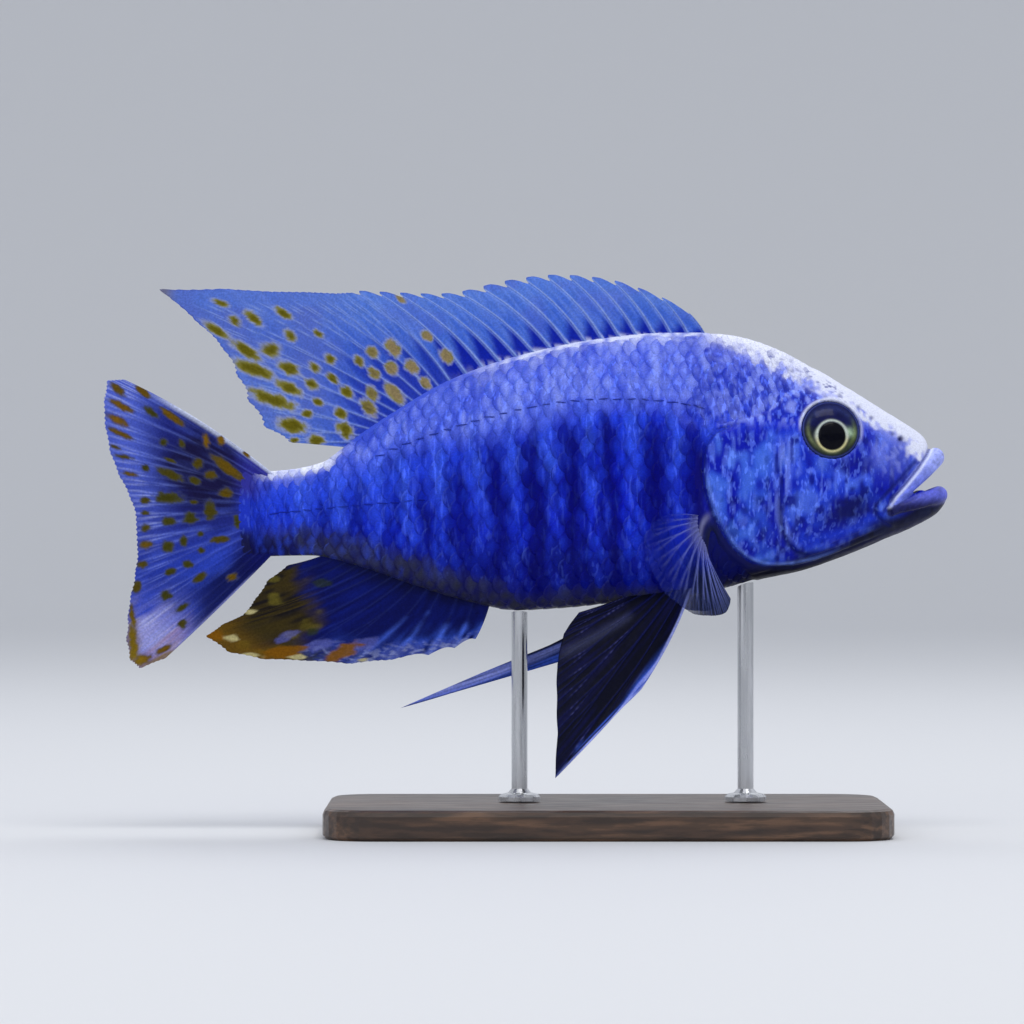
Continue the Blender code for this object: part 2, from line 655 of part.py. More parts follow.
def tail_fin(looks, skin):
    shares = [0.0, 0.2, 0.48, 0.8, 1.0]
    rays = []
    for i, (x, z) in enumerate(TAIL_TIPS):
        t = i / (len(TAIL_TIPS) - 1)
        height = TAIL_ROOT_HEIGHTS[0] * (1 - t) + TAIL_ROOT_HEIGHTS[1] * t
        root = Vector((TAIL_ROOT_X + 2.0 * (2 * t - 1) ** 2, 0.0, height))
        tip = Vector((x, 0.0, z))
        bow = 2.9 * (1 - t) ** 2 - 0.8 * t
        via = Vector((root.x + (tip.x - root.x) * 0.5, 0.0, root.z + (tip.z - root.z) * 0.5 + bow))
        rays.append([bent(root, tip, via, s) for s in shares])

    def wave(x, z, share):
        return 1.5 * share**2 * math.sin(0.16 * (z + 6.0))

    obj = fin("caudal_fin", columns_of(rays, 0.4, 0.45, 0.5, 0.26), shares, 1.1, looks["tail_blue"], wave)
    boolean(obj, skin, "DIFFERENCE", keep_other=True)
    keep_largest(obj)


def anal_fin(looks, skin):
    shares = [0.0, 0.25, 0.52, 0.8, 1.0]
    rays = []
    for roots, tips in ((ANAL_SPINE_ROOTS, ANAL_SPINE_TIPS), (ANAL_RAY_ROOTS, ANAL_RAY_TIPS)):
        for i, (x, z) in enumerate(tips):
            t = i / (len(tips) - 1)
            root = on_belly(roots[0] + (roots[1] - roots[0]) * t)
            tip = Vector((x, 0.0, z))
            via = Vector((root.x + (tip.x - root.x) * 0.4, 0.0, root.z + (tip.z - root.z) * 0.6))
            rays.append([bent(root, tip, via, s) for s in shares])

    def wave(x, z, share):
        return -0.8 * share * math.sin(0.12 * (x + 30.0))

    obj = fin("anal_fin", columns_of(rays, 0.42, 0.6, 0.4, 0.28), shares, 0.75, looks["anal_olive"], wave)
    boolean(obj, skin, "DIFFERENCE", keep_other=True)
    keep_largest(obj)


def pelvic_fins(looks, skin):
    """The right fin hangs spread, the left one is folded back under the belly."""
    shares = [0.0, 0.22, 0.46, 0.72, 1.0]
    for name, side, rays_of, flat in (
        ("pelvic_fin_right", -1, PELVIC_SPREAD, False),
        ("pelvic_fin_left", 1, PELVIC_FOLDED, True),
    ):
        start, end = (Vector((x, side * out, z)) for x, z, out in PELVIC_ROOTS)
        rays = []
        for i, ((via_x, via_z), (x, z, out)) in enumerate(rays_of):
            root = start.lerp(end, i / (len(rays_of) - 1))
            via = Vector((via_x, root.y + (side * out - root.y) * 0.45, via_z))
            rays.append([bent(root, Vector((x, side * out, z)), via, s) for s in shares])
        columns = columns_of(rays, 0.45, 0.5, 0.4, 0.3)
        obj = fin(name, columns, shares, 0.7, looks["pelvic_dark"], flat=flat)
        boolean(obj, skin, "DIFFERENCE", keep_other=True)
        keep_largest(obj)


def pectoral_fins(looks, skin):
    """Two clear fans behind the gill covers, held out to the side and down."""
    shares = [0.0, 0.3, 0.66, 1.0]
    for name, side in (("pectoral_fin_left", 1), ("pectoral_fin_right", -1)):
        rays = []
        for i, tip in enumerate(spread(PECTORAL_TIPS, PECTORAL_RAYS)):
            t = i / (PECTORAL_RAYS - 1)
            x, z = (a * (1 - t) + b * t for a, b in zip(*PECTORAL_ROOTS))
            root = Vector((x, side * (flank_y(x, z) - 1.6), z))
            tip = Vector((tip.x, side * tip.z, tip.y))
            via = root.lerp(tip, 0.5) + Vector((-0.6, side * 1.5, 0.4))
            rays.append([bent(root, tip, via, s) for s in shares])
        columns = columns_of(rays, 0.3, 0.3, 0.3, 0.2)
        obj = fin(name, columns, shares, 0.6, looks["pectoral_pale"], flat=False)
        boolean(obj, skin, "DIFFERENCE", keep_other=True)
        keep_largest(obj)


def stacked(name, rings, material):
    """A closed body from equal rings of points, one above the other."""
    count = len(rings[0])
    points = [p for ring in rings for p in ring]
    faces = []
    for r in range(len(rings) - 1):
        for k in range(count):
            a, b = r * count + k, r * count + (k + 1) % count
            faces.append((a, b, b + count, a + count))
    faces.append(tuple(range(count - 1, -1, -1)))
    faces.append(tuple(range((len(rings) - 1) * count, len(rings) * count)))
    return face_out(add_mesh(name, points, faces, material, lift=0.0))


def rounded_plate(inset, z):
    """One level of the base: a rectangle with round corners."""
    length, width = BASE_SIZE[0] / 2 - BASE_CORNER, BASE_SIZE[1] / 2 - BASE_CORNER
    radius = BASE_CORNER - inset
    ring = []
    for corner, (sx, sy) in enumerate(((1, 1), (-1, 1), (-1, -1), (1, -1))):
        for k in range(7):
            angle = math.pi / 2 * (corner + k / 6)
            x = BASE_CENTRE_X + sx * length + radius * math.cos(angle)
            ring.append((x, sy * width + radius * math.sin(angle), z))
    return ring


def stand(looks, skin):
    """A flat base with two thin rods, each on a small round foot and shaped at its top to the belly."""
    top = BASE_SIZE[2]
    levels = [(BASE_CHAMFER, 0.0), (0.0, BASE_CHAMFER), (0.0, top - 1.2), (0.35, top - 0.35), (1.2, top)]
    stacked("stand_base", [rounded_plate(inset, z) for inset, z in levels], looks["base_wood"])
    for name, x in RODS.items():
        foot = top + GAP
        profile = [
            (ROD_FOOT_RADIUS, foot), (ROD_FOOT_RADIUS, foot + 0.8), (ROD_FOOT_RADIUS - 0.5, foot + 1.3),
            (ROD_RADIUS + 0.7, foot + 1.6), (ROD_RADIUS, foot + 2.4),
            (ROD_RADIUS, AXIS_HEIGHT + belly(x) + 4.0),
        ]
        rings = []
        for radius, z in profile:
            turns = [2 * math.pi * k / 20 for k in range(20)]
            rings.append([(x + radius * math.cos(a), radius * math.sin(a), z) for a in turns])
        rod = stacked(name, rings, looks["rod_steel"])
        boolean(rod, skin, "DIFFERENCE", keep_other=True)
        keep_largest(rod)


def main():
    clear_scene()
    looks = materials()
    body_parts(looks)
    skin = body_mesh("skin_cutter", grow=GAP)
    dorsal_fin(looks, skin)
    tail_fin(looks, skin)
    anal_fin(looks, skin)
    pelvic_fins(looks, skin)
    pectoral_fins(looks, skin)
    stand(looks, skin)
    remove(skin)
    for obj in bpy.data.objects:
        if obj.type == "MESH":
            shade(obj)


main()
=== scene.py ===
"""An electric blue hap as a still, life-size display model: skin, scales, fins, eyes and a plain stand.

Tables are in millimetres, with heights measured from the fish's own axis. +X is the snout, +Y its left side.
"""

import math

import bmesh
import bpy
import numpy as np
from mathutils import Matrix, Vector


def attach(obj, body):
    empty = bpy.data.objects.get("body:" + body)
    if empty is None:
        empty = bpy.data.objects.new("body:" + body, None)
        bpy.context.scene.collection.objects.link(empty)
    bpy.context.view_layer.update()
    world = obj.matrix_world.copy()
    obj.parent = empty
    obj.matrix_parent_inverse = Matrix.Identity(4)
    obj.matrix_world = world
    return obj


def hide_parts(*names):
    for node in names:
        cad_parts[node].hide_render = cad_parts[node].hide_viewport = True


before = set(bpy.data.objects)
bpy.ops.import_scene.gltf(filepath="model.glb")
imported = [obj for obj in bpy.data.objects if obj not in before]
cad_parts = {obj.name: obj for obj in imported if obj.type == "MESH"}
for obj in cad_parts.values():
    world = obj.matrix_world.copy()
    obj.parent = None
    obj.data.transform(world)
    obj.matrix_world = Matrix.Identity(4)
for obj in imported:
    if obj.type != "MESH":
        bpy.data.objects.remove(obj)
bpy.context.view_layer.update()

MM = 0.001
AXIS_HEIGHT = 66.2
SNOUT_X = 84.2
TAIL_END_X = -58.0

SIDES = ((1, "left"), (-1, "right"))

# Outline of the body from the side: (distance along, height), and its half width and fullness
BACK = [
    (-58.4, 9), (-55.6, 7.2), (-52.9, 6.2), (-47.2, 6.6), (-41, 8), (-35.6, 11.8), (-27.6, 17.3),
    (-15, 24.5), (-2, 29), (14, 32.4), (28, 33.7), (38, 33.7), (43, 33), (50.6, 30.4),
    (58.6, 26), (64.7, 22.3), (70.8, 18.5), (77.6, 14.2), (79.7, 12.4), (80.5, 10.2), (82.4, 8.6),
    (83.8, 6.2), (84.2, 3.6),
]
BELLY = [
    (-58.4, -14.6), (-55.6, -12.4), (-52.9, -11.4), (-43, -11.2), (-34, -13.2), (-24, -16.6),
    (-13, -20), (-2, -22.1), (8, -21.6), (20, -20.3), (32.8, -19.3), (45.6, -16), (54.6, -14.1),
    (63.6, -11), (71.7, -7.6), (77.7, -5), (81.9, -2.6), (83.5, -0.6), (84.2, 1.4),
]
HALF_WIDTH = [
    (-58.4, 0.1), (-56.6, 0.75), (-54.6, 1.6), (-52.9, 2.15), (-50, 2.9), (-42, 4.2), (-33, 5.7),
    (-20, 7.9), (-5, 9.9), (10, 11.1), (25, 11.5), (36, 11.4), (52, 10.6), (61, 9.6),
    (70, 8), (77, 6.3), (81, 4.6), (83.2, 2.8), (84.2, 1),
]
WIDEST_HEIGHT = [
    (-52.9, -2.6), (-40, -1.4), (-20, 1), (10, 4.5), (36, 5.5), (61, 4), (75, 2.6),
    (84.2, 2.2),
]
BACK_FULLNESS = [(-52.9, 1.9), (-20, 1.75), (20, 1.7), (45, 1.85), (62, 2.15), (84.2, 2.3)]
BELLY_FULLNESS = [(-52.9, 1.9), (-10, 2.1), (20, 2.35), (40, 2.15), (60, 1.95), (84.2, 2.2)]

# Skin: where the fine snout mesh meets the lofted body, how far the scaled skin lies inside, and its rings
LOFT_START_X = 60.0
LOFT_STATIONS, LOFT_SIDES = 90, 120
SNOUT_CUT_X = 68.0
VOXEL = 0.26
COAT_DEPTH = 0.3
FINE_END_X, FINE_STEP = 34.0, 0.34
COARSE_RINGS = 98
TAIL_END_HEIGHT = -2.6

# Mouth
MOUTH_OPENING = [
    (90, 1.2), (81.2, 1.6), (78.4, 2.2), (74.6, 0), (74.2, 0.5), (78.2, 4.6), (80.4, 7.4), (82, 8.6),
    (90, 9.2),
]
LIP_HALF_SPAN = 6.5
UPPER_LIP = {"rear": (73, -0.4), "front": (81.6, 8.7), "roll": 1.95, "lean": 0.62}
LOWER_LIP = {"rear": (72.6, -2.1), "front": (82.4, 1.2), "roll": 1.8, "lean": 0.25}
LIP_STEPS, LIP_SIDES = 56, 20

# Lines of the head, as (distance along, height)
GILL_EDGE = [
    (46.4, 15.6), (44.4, 15.4), (42.2, 15), (40.2, 14.4), (38.2, 13.6), (36.6, 12), (36, 10.4),
    (35.8, 8.6), (35.7, 6.6), (35.8, 4.8), (36.1, 2.8), (36.6, 0.8), (37.2, -1.2), (38, -3.2), (38.9, -5),
    (39.9, -6.8), (41, -8.4), (42.3, -9.9), (43.8, -11.2), (45.4, -12.1), (47.2, -12.7), (49.2, -13),
    (53.2, -12.8), (57.6, -11.9), (61.4, -10.6), (66, -8.8),
]
PREOPERCLE = [
    (51.8, 13), (51.3, 9), (50.9, 4), (50.7, -1), (50.9, -4.2), (51.4, -6.6), (52.4, -8.6),
    (54, -10.2), (56.4, -10.9), (59.4, -10.4), (63.2, -8.9),
]
LIP_FOLD = [(81, 11.4), (80, 9.2), (78.2, 6.4), (75.6, 3.2), (73.6, 1), (72.4, -0.8)]
JAW_FOLD = [(78.4, 8.6), (75.2, 4.8), (72, 1.4), (69.9, -0.9), (69.8, -2.4), (71, -4), (73.4, -5.2)]
CHIN_FOLD = [(73.2, -3.2), (76, -2.2), (79.4, -1.4), (82, -1)]
LATERAL_LINE = [
    (35.7, 18.6), (29, 19.6), (22.7, 20.2), (14.7, 20.2), (4.7, 19.2), (-5.3, 17.2), (-15.3, 14.2),
    (-25.3, 10.8), (-32.3, 7.6),
]
TAIL_LINE = [(-21.3, 0.2), (-27.3, -0.4), (-37.3, -1.2), (-53.3, -2.8)]
NOSTRIL = (74.8, 12.4)
PORES = [
    (73.2, 13.4), (37, 31.6), (38.2, 30.8), (44.6, 30.4), (50.2, 27.6), (53, 28), (53.2, 26),
    (56.4, 24.8), (62.6, 21.2), (69, 16.6), (66.4, 18.8), (47.4, 28), (41.4, 30.6),
]

# Eye
EYE_X, EYE_HEIGHT = 60.1, 13.7
EYE_DEPTH = 3.4
EYE_PROUD = 1.7
EYE_TILT_UP, EYE_TURN_FORWARD = 14.0, 9.0
EYEBALL_RADIUS = 6.5
EYE_RINGS, EYE_SIDES = 60, 96
SOCKET_RADIUS, RIM_RADIUS = 5.85, 6.2
PUPIL = (-0.1, -1.55, 2.72)

# Dark bars down the flank: where each one stands
BARS = [34, 26, 16.9, 9.2, 1.9, -6.2, -13.5, -20.5, -27.7, -34.3, -41.7]

# Where the scales begin behind the head: distance along for each height
SCALED_FRONT = [
    (-30, 46.5), (-16, 46), (-14.4, 44.6), (-11.6, 41.6), (-8.2, 38.8), (-4, 36.6), (0, 35.4),
    (4.8, 34.6), (9, 34.8), (12.6, 36), (15.4, 39.6), (16.6, 44.6), (18.4, 49.4), (21.6, 53),
    (24, 57), (30, 59), (40, 60),
]

# The rows of scales: height of the middle row, and how far apart rows and scales are, for each distance along
MIDDLE_ROW = [(-57, -2.7), (-20, 0.4), (10, 2.6), (36, 3.2), (70, 3.4)]
ROW_PITCH = [(-57, 1.8), (-45, 2.15), (-20, 2.6), (5, 2.7), (32, 2.6), (46, 1.8), (60, 1.4)]
SCALE_PITCH = [
    (-57, 1), (-54, 1.3), (-50, 1.9), (-45, 2.3), (-20, 2.75), (5, 2.9), (32, 2.7), (46, 1.7), (60, 1.2),
]

# The scales: points across each one, its middle point and thickness, where the coat's pieces meet, and how
# far apart the rows are where a scale has its full size
SCALE_STEPS = 9
SCALE_MIDDLE = SCALE_STEPS**2 // 2
SCALE_THICKNESS = 0.07
COAT_SPLIT_X = 6.0
FULL_ROW_PITCH = 2.7

# Steps of the coat's table along and up the flank, and the size of its map and of a scale's patch there
GIRTH_STEP, REACH_STEP = 0.5, 0.4
MAP_WIDTH, MAP_HEIGHT, MAP_PATCH = 180.0, 200.0, 0.0015

# The lateral line's tubes
TUBE_STEPS, TUBE_SIDES = 7, 7

# Dorsal fin
SPINES = 16
SPINE_ROOTS = (36.3, -14.8)
SPINE_TIPS = (32.3, -33.4)
DORSAL_MARGIN = [
    (-33.4, 41.6), (-16, 41), (-4, 43.5), (6, 44.8), (15, 44.2), (25, 41.4), (32.3, 37.8),
]
DORSAL_RAY_ROOTS = (-17, -35.4)
DORSAL_RAY_TIPS = [
    (-38, 41.4), (-43.8, 41.7), (-50.8, 41.8), (-60.2, 42.4), (-73.4, 42.3), (-65.6, 35.6), (-60.7, 30.6),
    (-57.8, 25.2), (-55.6, 20.2), (-52.2, 14.8), (-47, 11.7), (-41, 11.2),
]

# Tail fin
TAIL_ROOT_X = -51.6
TAIL_ROOT_HEIGHTS = (4.6, -9.4)
TAIL_TIPS = [
    (-80.2, 24.2), (-83.6, 24), (-84.2, 20.2), (-84.1, 15), (-83.2, 9.8), (-81.4, 5), (-79.2, 0.6),
    (-77.9, -4.2), (-77.6, -9.2), (-78, -14), (-78.9, -18.6), (-79.6, -23.2), (-80, -27.6),
    (-79.3, -31.6), (-77.2, -33.4), (-72.2, -31.4),
]

# Anal fin
ANAL_SPINE_ROOTS = (-7.2, -13.6)
ANAL_SPINE_TIPS = [(-10.2, -27.6), (-14.4, -29.4), (-19.6, -30.8)]
ANAL_RAY_ROOTS = (-17, -39.6)
ANAL_RAY_TIPS = [
    (-27.4, -31.7), (-35.3, -32.5), (-44.3, -31.9), (-52.6, -31.6), (-59.4, -30.2), (-64, -27),
    (-60.6, -24.6), (-56.6, -22.8), (-54.3, -19.8), (-51.6, -15.8), (-47.6, -12.8),
]

# Pelvic fins: where a ray bends (distance along, height) and its tip (distance along, height, distance out)
PELVIC_ROOTS = ((33.4, -16.2, 3.9), (26.2, -16.2, 2.9))
PELVIC_SPREAD = [
    ((29.9, -27), (22.6, -37.4, 11.6)), ((20, -37.6), (5.6, -54.4, 21)),
    ((19.2, -32.4), (6.1, -45.8, 17)), ((18.4, -28.8), (6, -38.8, 13.6)),
    ((17.8, -25.2), (6.1, -32.4, 10.4)), ((17.8, -21.6), (7.4, -26.4, 7.2)),
    ((19.4, -19.6), (10.4, -22.2, 5.6)),
]
PELVIC_FOLDED = [
    ((19.8, -26.8), (7, -32.2, 5)), ((9.5, -32.2), (-25.3, -41.6, 5.4)),
    ((12, -28), (-9, -34.5, 5)), ((17, -23.6), (4.5, -29, 4.4)),
    ((21.8, -19.4), (16.4, -23, 3.8)),
]

# Pectoral fins
PECTORAL_ROOTS = ((34.5, -2.9), (35, -9.4))
PECTORAL_RAYS = 13
PECTORAL_TIPS = [
    (27.4, -2.6, 21), (22.8, -5.8, 26.5), (23.4, -11.8, 29.5), (27, -18.2, 30), (32.2, -22, 28),
    (37, -22.5, 25), (39.4, -21.6, 22.6), (40, -19.2, 20.5),
]

# Spots on the dorsal fin: (distance along, height, half length, half width, turn in degrees)
DORSAL_SPOTS = [
    (-61.2, 39.6, 1.5, 0.6, -22), (-58.3, 36, 1.2, 0.8, -40), (-54.6, 36.6, 2, 0.8, -38),
    (-48.7, 37.6, 2, 0.7, -32), (-47.3, 33.1, 1.3, 0.8, -45), (-41.7, 33.5, 1.1, 0.6, -42),
    (-61.9, 34.1, 2.9, 0.8, -33), (-56.1, 30.1, 3.2, 1, -32), (-51.2, 30.2, 1.9, 1.3, -10),
    (-54.6, 26.4, 4.2, 1.1, -22), (-47.5, 26.5, 2.2, 1.1, -25), (-42.4, 26.8, 1.1, 0.8, -40),
    (-39.3, 28.4, 1.1, 0.8, -38), (-43, 23.4, 1.3, 0.9, -30), (-38.8, 24.5, 1.3, 0.8, -40),
    (-47.4, 22.6, 2.6, 1, -27), (-50.8, 20.3, 4.7, 1.2, -20), (-41.7, 19.8, 1.1, 0.7, -35),
    (-43.9, 17.5, 1.1, 0.8, -20), (-47, 15.1, 2.8, 1.3, -14), (-42, 12.2, 1.6, 1.1, 0),
    (-46.4, 12.1, 0.9, 0.6, 0), (-35.9, 21.8, 1.4, 0.9, -45), (-37.2, 17.5, 1.3, 0.9, -45),
    (-36.2, 14.2, 1.7, 1.3, -45), (-33.5, 28, 1.2, 0.8, -45), (-30.8, 29.7, 1.3, 0.9, -45),
    (-26.7, 30.6, 1.9, 1.1, -55), (-30.5, 25.5, 1.3, 0.9, -45), (-27, 26.5, 1.4, 1, -48),
    (-23, 26.8, 1.5, 1, -48), (-30.9, 21.5, 1.5, 0.9, -60), (-31.5, 18.6, 1.8, 1.1, -50),
    (-26.4, 21.6, 2.5, 1, -48), (-20.2, 23.6, 1.3, 0.8, -50), (-19.9, 33, 1.2, 0.8, -30),
    (-16.1, 29, 1.4, 1, -50), (-25.2, 40.4, 1.1, 0.5, -40),
]

# Spots on the tail: (distance along, height, half length, half width, turn in degrees, how orange)
TAIL_SPOTS = [
    (-81.7, 22.4, 1.7, 0.7, -42, 0.5), (-81.1, 19.1, 2.5, 0.6, -28, 0.8), (-81.9, 16.3, 2.3, 0.8, -30, 1),
    (-81.5, 13.6, 2.4, 0.5, -24, 0.6), (-82.3, 10.8, 1.2, 0.4, -20, 0.2), (-80.7, 8.8, 1.7, 0.4, -12, 0.2),
    (-79.4, 5.4, 1.4, 0.4, -8, 0.6), (-76.7, 21.9, 1.7, 0.6, -38, 0.6), (-74.9, 17.7, 1.8, 0.7, -42, 0),
    (-71, 16.9, 3.1, 0.7, -33, 0.7), (-72.6, 11.8, 0.8, 0.7, 0, 0), (-68.9, 11.5, 0.9, 0.6, -70, 0.1),
    (-64.1, 12, 1.6, 0.6, -85, 1), (-61.1, 12.2, 0.7, 0.9, 0, 0.9), (-56, 9.3, 1, 0.4, -40, 0.9),
    (-76.3, 6.6, 0.7, 0.7, 0, 0), (-71.4, 8.2, 1.2, 0.3, -20, 0.1), (-71.1, 5.2, 2.6, 0.8, -22, 0.1),
    (-71.3, 0.7, 2.6, 1.1, -4, 0), (-65.7, 7.5, 1.1, 0.9, 0, 0.2), (-66.4, 4.1, 1.1, 0.8, -20, 0.1),
    (-63.1, 5.1, 1.2, 0.9, -8, 0.3), (-59.9, 6.8, 3.6, 1, -38, 0.5), (-60.2, 1.6, 1.3, 1, -10, 0.4),
    (-63.3, -1.9, 1.8, 1.1, -82, 0.1), (-66.5, -0.2, 0.7, 0.4, 0, 0.1), (-76.4, 0.1, 0.9, 0.6, 0, 0.1),
    (-76.2, -2.4, 0.9, 0.4, 0, 0.1), (-76.2, -5.4, 0.9, 0.7, 0, 0.1), (-76, -8.8, 1.2, 0.8, 4, 0.5),
    (-76.8, -12.7, 1.1, 0.7, 6, 0.2), (-77.9, -17.3, 1.2, 0.8, 70, 0.2), (-67.3, -3.5, 1.4, 1.1, 0, 0),
    (-71.6, -4, 1.4, 0.8, 0, 0), (-71.7, -9.1, 1.1, 1, 0, 0), (-68.5, -8, 1, 0.8, -85, 0),
    (-61.3, -7.7, 1.7, 0.6, 4, 0.2), (-57.9, -4.1, 1.2, 0.7, -88, 0), (-64.9, -9.9, 0.7, 0.6, 0, 0),
    (-65.2, -6.6, 0.6, 0.5, 0, 0), (-67.7, -12.7, 1, 0.8, 10, 0), (-71.2, -14.1, 1.2, 0.7, 10, 0),
    (-65.3, -15.3, 1.3, 0.8, 38, 0.1), (-72.1, -18.9, 1.2, 0.9, 20, 0), (-68.9, -21.3, 1.5, 0.5, 36, 0),
    (-68.8, -24.6, 1, 0.8, 40, 0.1), (-58.8, -15.3, 1, 0.7, 10, 0.6), (-78.8, -22.8, 2.4, 0.5, -82, 0.4),
    (-78.7, -28, 3, 0.7, -88, 0.5), (-76.9, -31.8, 1.8, 0.8, 20, 1), (-72.6, -29.7, 1.6, 0.5, 28, 0.8),
]

# Blotches on the anal fin: (distance along, height, half length, half width, turn in degrees, kind)
ANAL_BLOTCHES = [
    (-62.4, -27, 1.8, 1.2, 0, "orange"), (-48.7, -30.1, 3.9, 1.2, 6, "orange"),
    (-36.8, -30.2, 3.6, 1.2, 24, "orange"), (-48.1, -27.2, 2.5, 0.8, 24, "lilac"),
    (-41.6, -28.8, 2.8, 1, 8, "lilac"), (-33, -28.8, 3.2, 1.2, 16, "lilac"),
    (-59, -27.3, 1.3, 0.7, 0, "cream"), (-55.3, -31, 2.1, 0.6, 0, "cream"),
    (-45.7, -31.4, 1.6, 0.6, 4, "cream"), (-55.3, -22.2, 1.2, 0.4, 4, "cream"),
    (-32.6, -31.8, 1.2, 0.4, 10, "cream"), (-40.7, -16.4, 1.7, 0.8, 0, "olive"),
    (-42.7, -26.2, 1.1, 0.9, 30, "olive"),
]

# Colour and strength of each kind of blotch
ANAL_TONES = {
    "lilac": (92, 98, 176, 0.55), "orange": (124, 80, 8, 0.95), "cream": (196, 186, 132, 0.8),
    "olive": (40, 50, 18, 0.7),
}

# Studio, in metres: the floor, and the camera's distance with the width that the photo shows there
FLOOR_REACH, FLOOR_BEND, FLOOR_SIDES = 1.9, 0.9, 96
CAMERA_DISTANCE = 1.1
PHOTO_WIDTH = 0.2048


def curve(points):
    """A smooth function through given (station, value) points, with slopes that never overshoot."""
    xs, ys = np.array(points, float).T
    rise = np.diff(ys) / np.diff(xs)
    slopes = np.empty_like(ys)
    slopes[0], slopes[-1] = rise[0], rise[-1]
    before, after = rise[:-1], rise[1:]
    same = before * after > 0
    slopes[1:-1] = np.where(same, 2 * before * after / np.where(same, before + after, 1.0), 0.0)

    def value(x):
        x = np.asarray(x, float)
        i = np.clip(np.searchsorted(xs, x) - 1, 0, len(xs) - 2)
        span = xs[i + 1] - xs[i]
        t = np.clip((x - xs[i]) / span, 0.0, 1.0)
        start = (2 * t**3 - 3 * t**2 + 1) * ys[i] + (t**3 - 2 * t**2 + t) * span * slopes[i]
        end = (3 * t**2 - 2 * t**3) * ys[i + 1] + (t**3 - t**2) * span * slopes[i + 1]
        return start + end

    return value


back = curve(BACK)
belly = curve(BELLY)
half_width = curve(HALF_WIDTH)
widest_height = curve(WIDEST_HEIGHT)
back_fullness = curve(BACK_FULLNESS)
belly_fullness = curve(BELLY_FULLNESS)
dorsal_margin = curve(DORSAL_MARGIN)
lateral_height = curve(sorted(LATERAL_LINE + [(-53.0, 4.6), (60.0, 21.0)]))
scaled_front = curve(SCALED_FRONT)


def drawn(x, y, z):
    """Where a place on the flank falls in a side drawing, which the tables are: nearer places look larger."""
    near = CAMERA_DISTANCE / (CAMERA_DISTANCE - np.abs(y) * MM)
    return (x + 2.9) * near - 2.9, (z + 2.2) * near - 2.2


def smooth(low, high, value):
    """0 below low, 1 above high and an even ramp between."""
    t = np.clip((value - low) / (high - low), 0.0, 1.0)
    return t * t * (3 - 2 * t)


def between(value, start, full, fade, end):
    """1 from full to fade, and falling to 0 at start and end."""
    return smooth(start, full, value) * smooth(end, fade, value)


def bell(value, width):
    return np.exp(-((value / width) ** 2))


def blob(u, v, wide, tall):
    """1 at the middle of a soft-edged oval, from distances to its middle along its two axes."""
    return bell(np.hypot(u / wide, v / tall), 1.0)


def clamp(value):
    return np.clip(value, 0, 1)


def random_at(*cells):
    """A repeatable random number from 0 to 1 for each whole-number cell."""
    mixed = sum(np.asarray(c, float) * k for c, k in zip(cells, (127.1, 311.7, 74.7, 191.3)))
    value = np.sin(mixed) * 43758.5453
    return value - np.floor(value)


def noise(x, y, z, size, seed=0):
    """Smooth noise from -1 to 1, with features about size across. size may be one number or three."""
    sizes = np.broadcast_to(np.asarray(size, float), (3,))
    parts = [np.asarray(p, float) / s + 17.3 * seed for p, s in zip((x, y, z), sizes)]
    cells = [np.floor(p) for p in parts]
    blend = [(p - c) ** 2 * (3 - 2 * (p - c)) for p, c in zip(parts, cells)]
    total = 0.0
    for corner in range(8):
        steps = [(corner >> k) & 1 for k in range(3)]
        weight = 1.0
        for step, b in zip(steps, blend):
            weight = weight * (b if step else 1 - b)
        total = total + weight * random_at(*[c + s for c, s in zip(cells, steps)], seed)
    return total * 2 - 1


def rgb(red, green, blue):
    """A linear colour from screen values of 0 to 255."""
    c = np.array([red, green, blue], float) / 255
    return np.where(c <= 0.04045, c / 12.92, ((c + 0.055) / 1.055) ** 2.4)


def mix(colour, other, share):
    share = np.asarray(share)[..., None]
    return colour * (1 - share) + other * share


def tones(first, second, share):
    """The first colour turning into the second by share."""
    return mix(rgb(*first), rgb(*second), share)


class Layers:
    """A colour for each point, built up in layers over a base. Colours are screen values of 0 to 255."""

    def __init__(self, like, *base):
        self.mixed = np.broadcast_to(rgb(*base), np.shape(like) + (3,))

    def over(self, red, green, blue, share):
        """One colour over what is there, as far as share says at each point."""
        self.mixed = mix(self.mixed, rgb(red, green, blue), share)

    def blend(self, other, share):
        """Other linear colours over what is there."""
        self.mixed = mix(self.mixed, other, share)

    def shade(self, factor):
        self.mixed = self.mixed * np.asarray(factor)[..., None]


def section(x, angle, grow=0.0):
    """A point of the body's cross-section at x. Angle 0 is the +Y side and 90 degrees the back."""
    middle = widest_height(x)
    c, s = np.cos(angle), np.sin(angle)
    up = s >= 0
    reach = np.where(up, back(x) - middle, middle - belly(x)) + grow
    fullness = np.where(up, back_fullness(x), belly_fullness(x))
    y = np.sign(c) * np.abs(c) ** (2 / fullness) * np.maximum(half_width(x) + grow, 0.12)
    z = middle + np.sign(s) * np.abs(s) ** (2 / fullness) * reach
    return y, z


def section_angle(x, y, z):
    """The angle whose section point lies nearest the point's own direction from the middle."""
    middle = widest_height(x)
    up = z >= middle
    reach = np.where(up, back(x) - middle, middle - belly(x))
    fullness = np.where(up, back_fullness(x), belly_fullness(x))
    c = np.sign(y) * (np.abs(y) / half_width(x)) ** (fullness / 2)
    s = np.where(up, 1, -1) * (np.abs(z - middle) / reach) ** (fullness / 2)
    return np.arctan2(s, c)


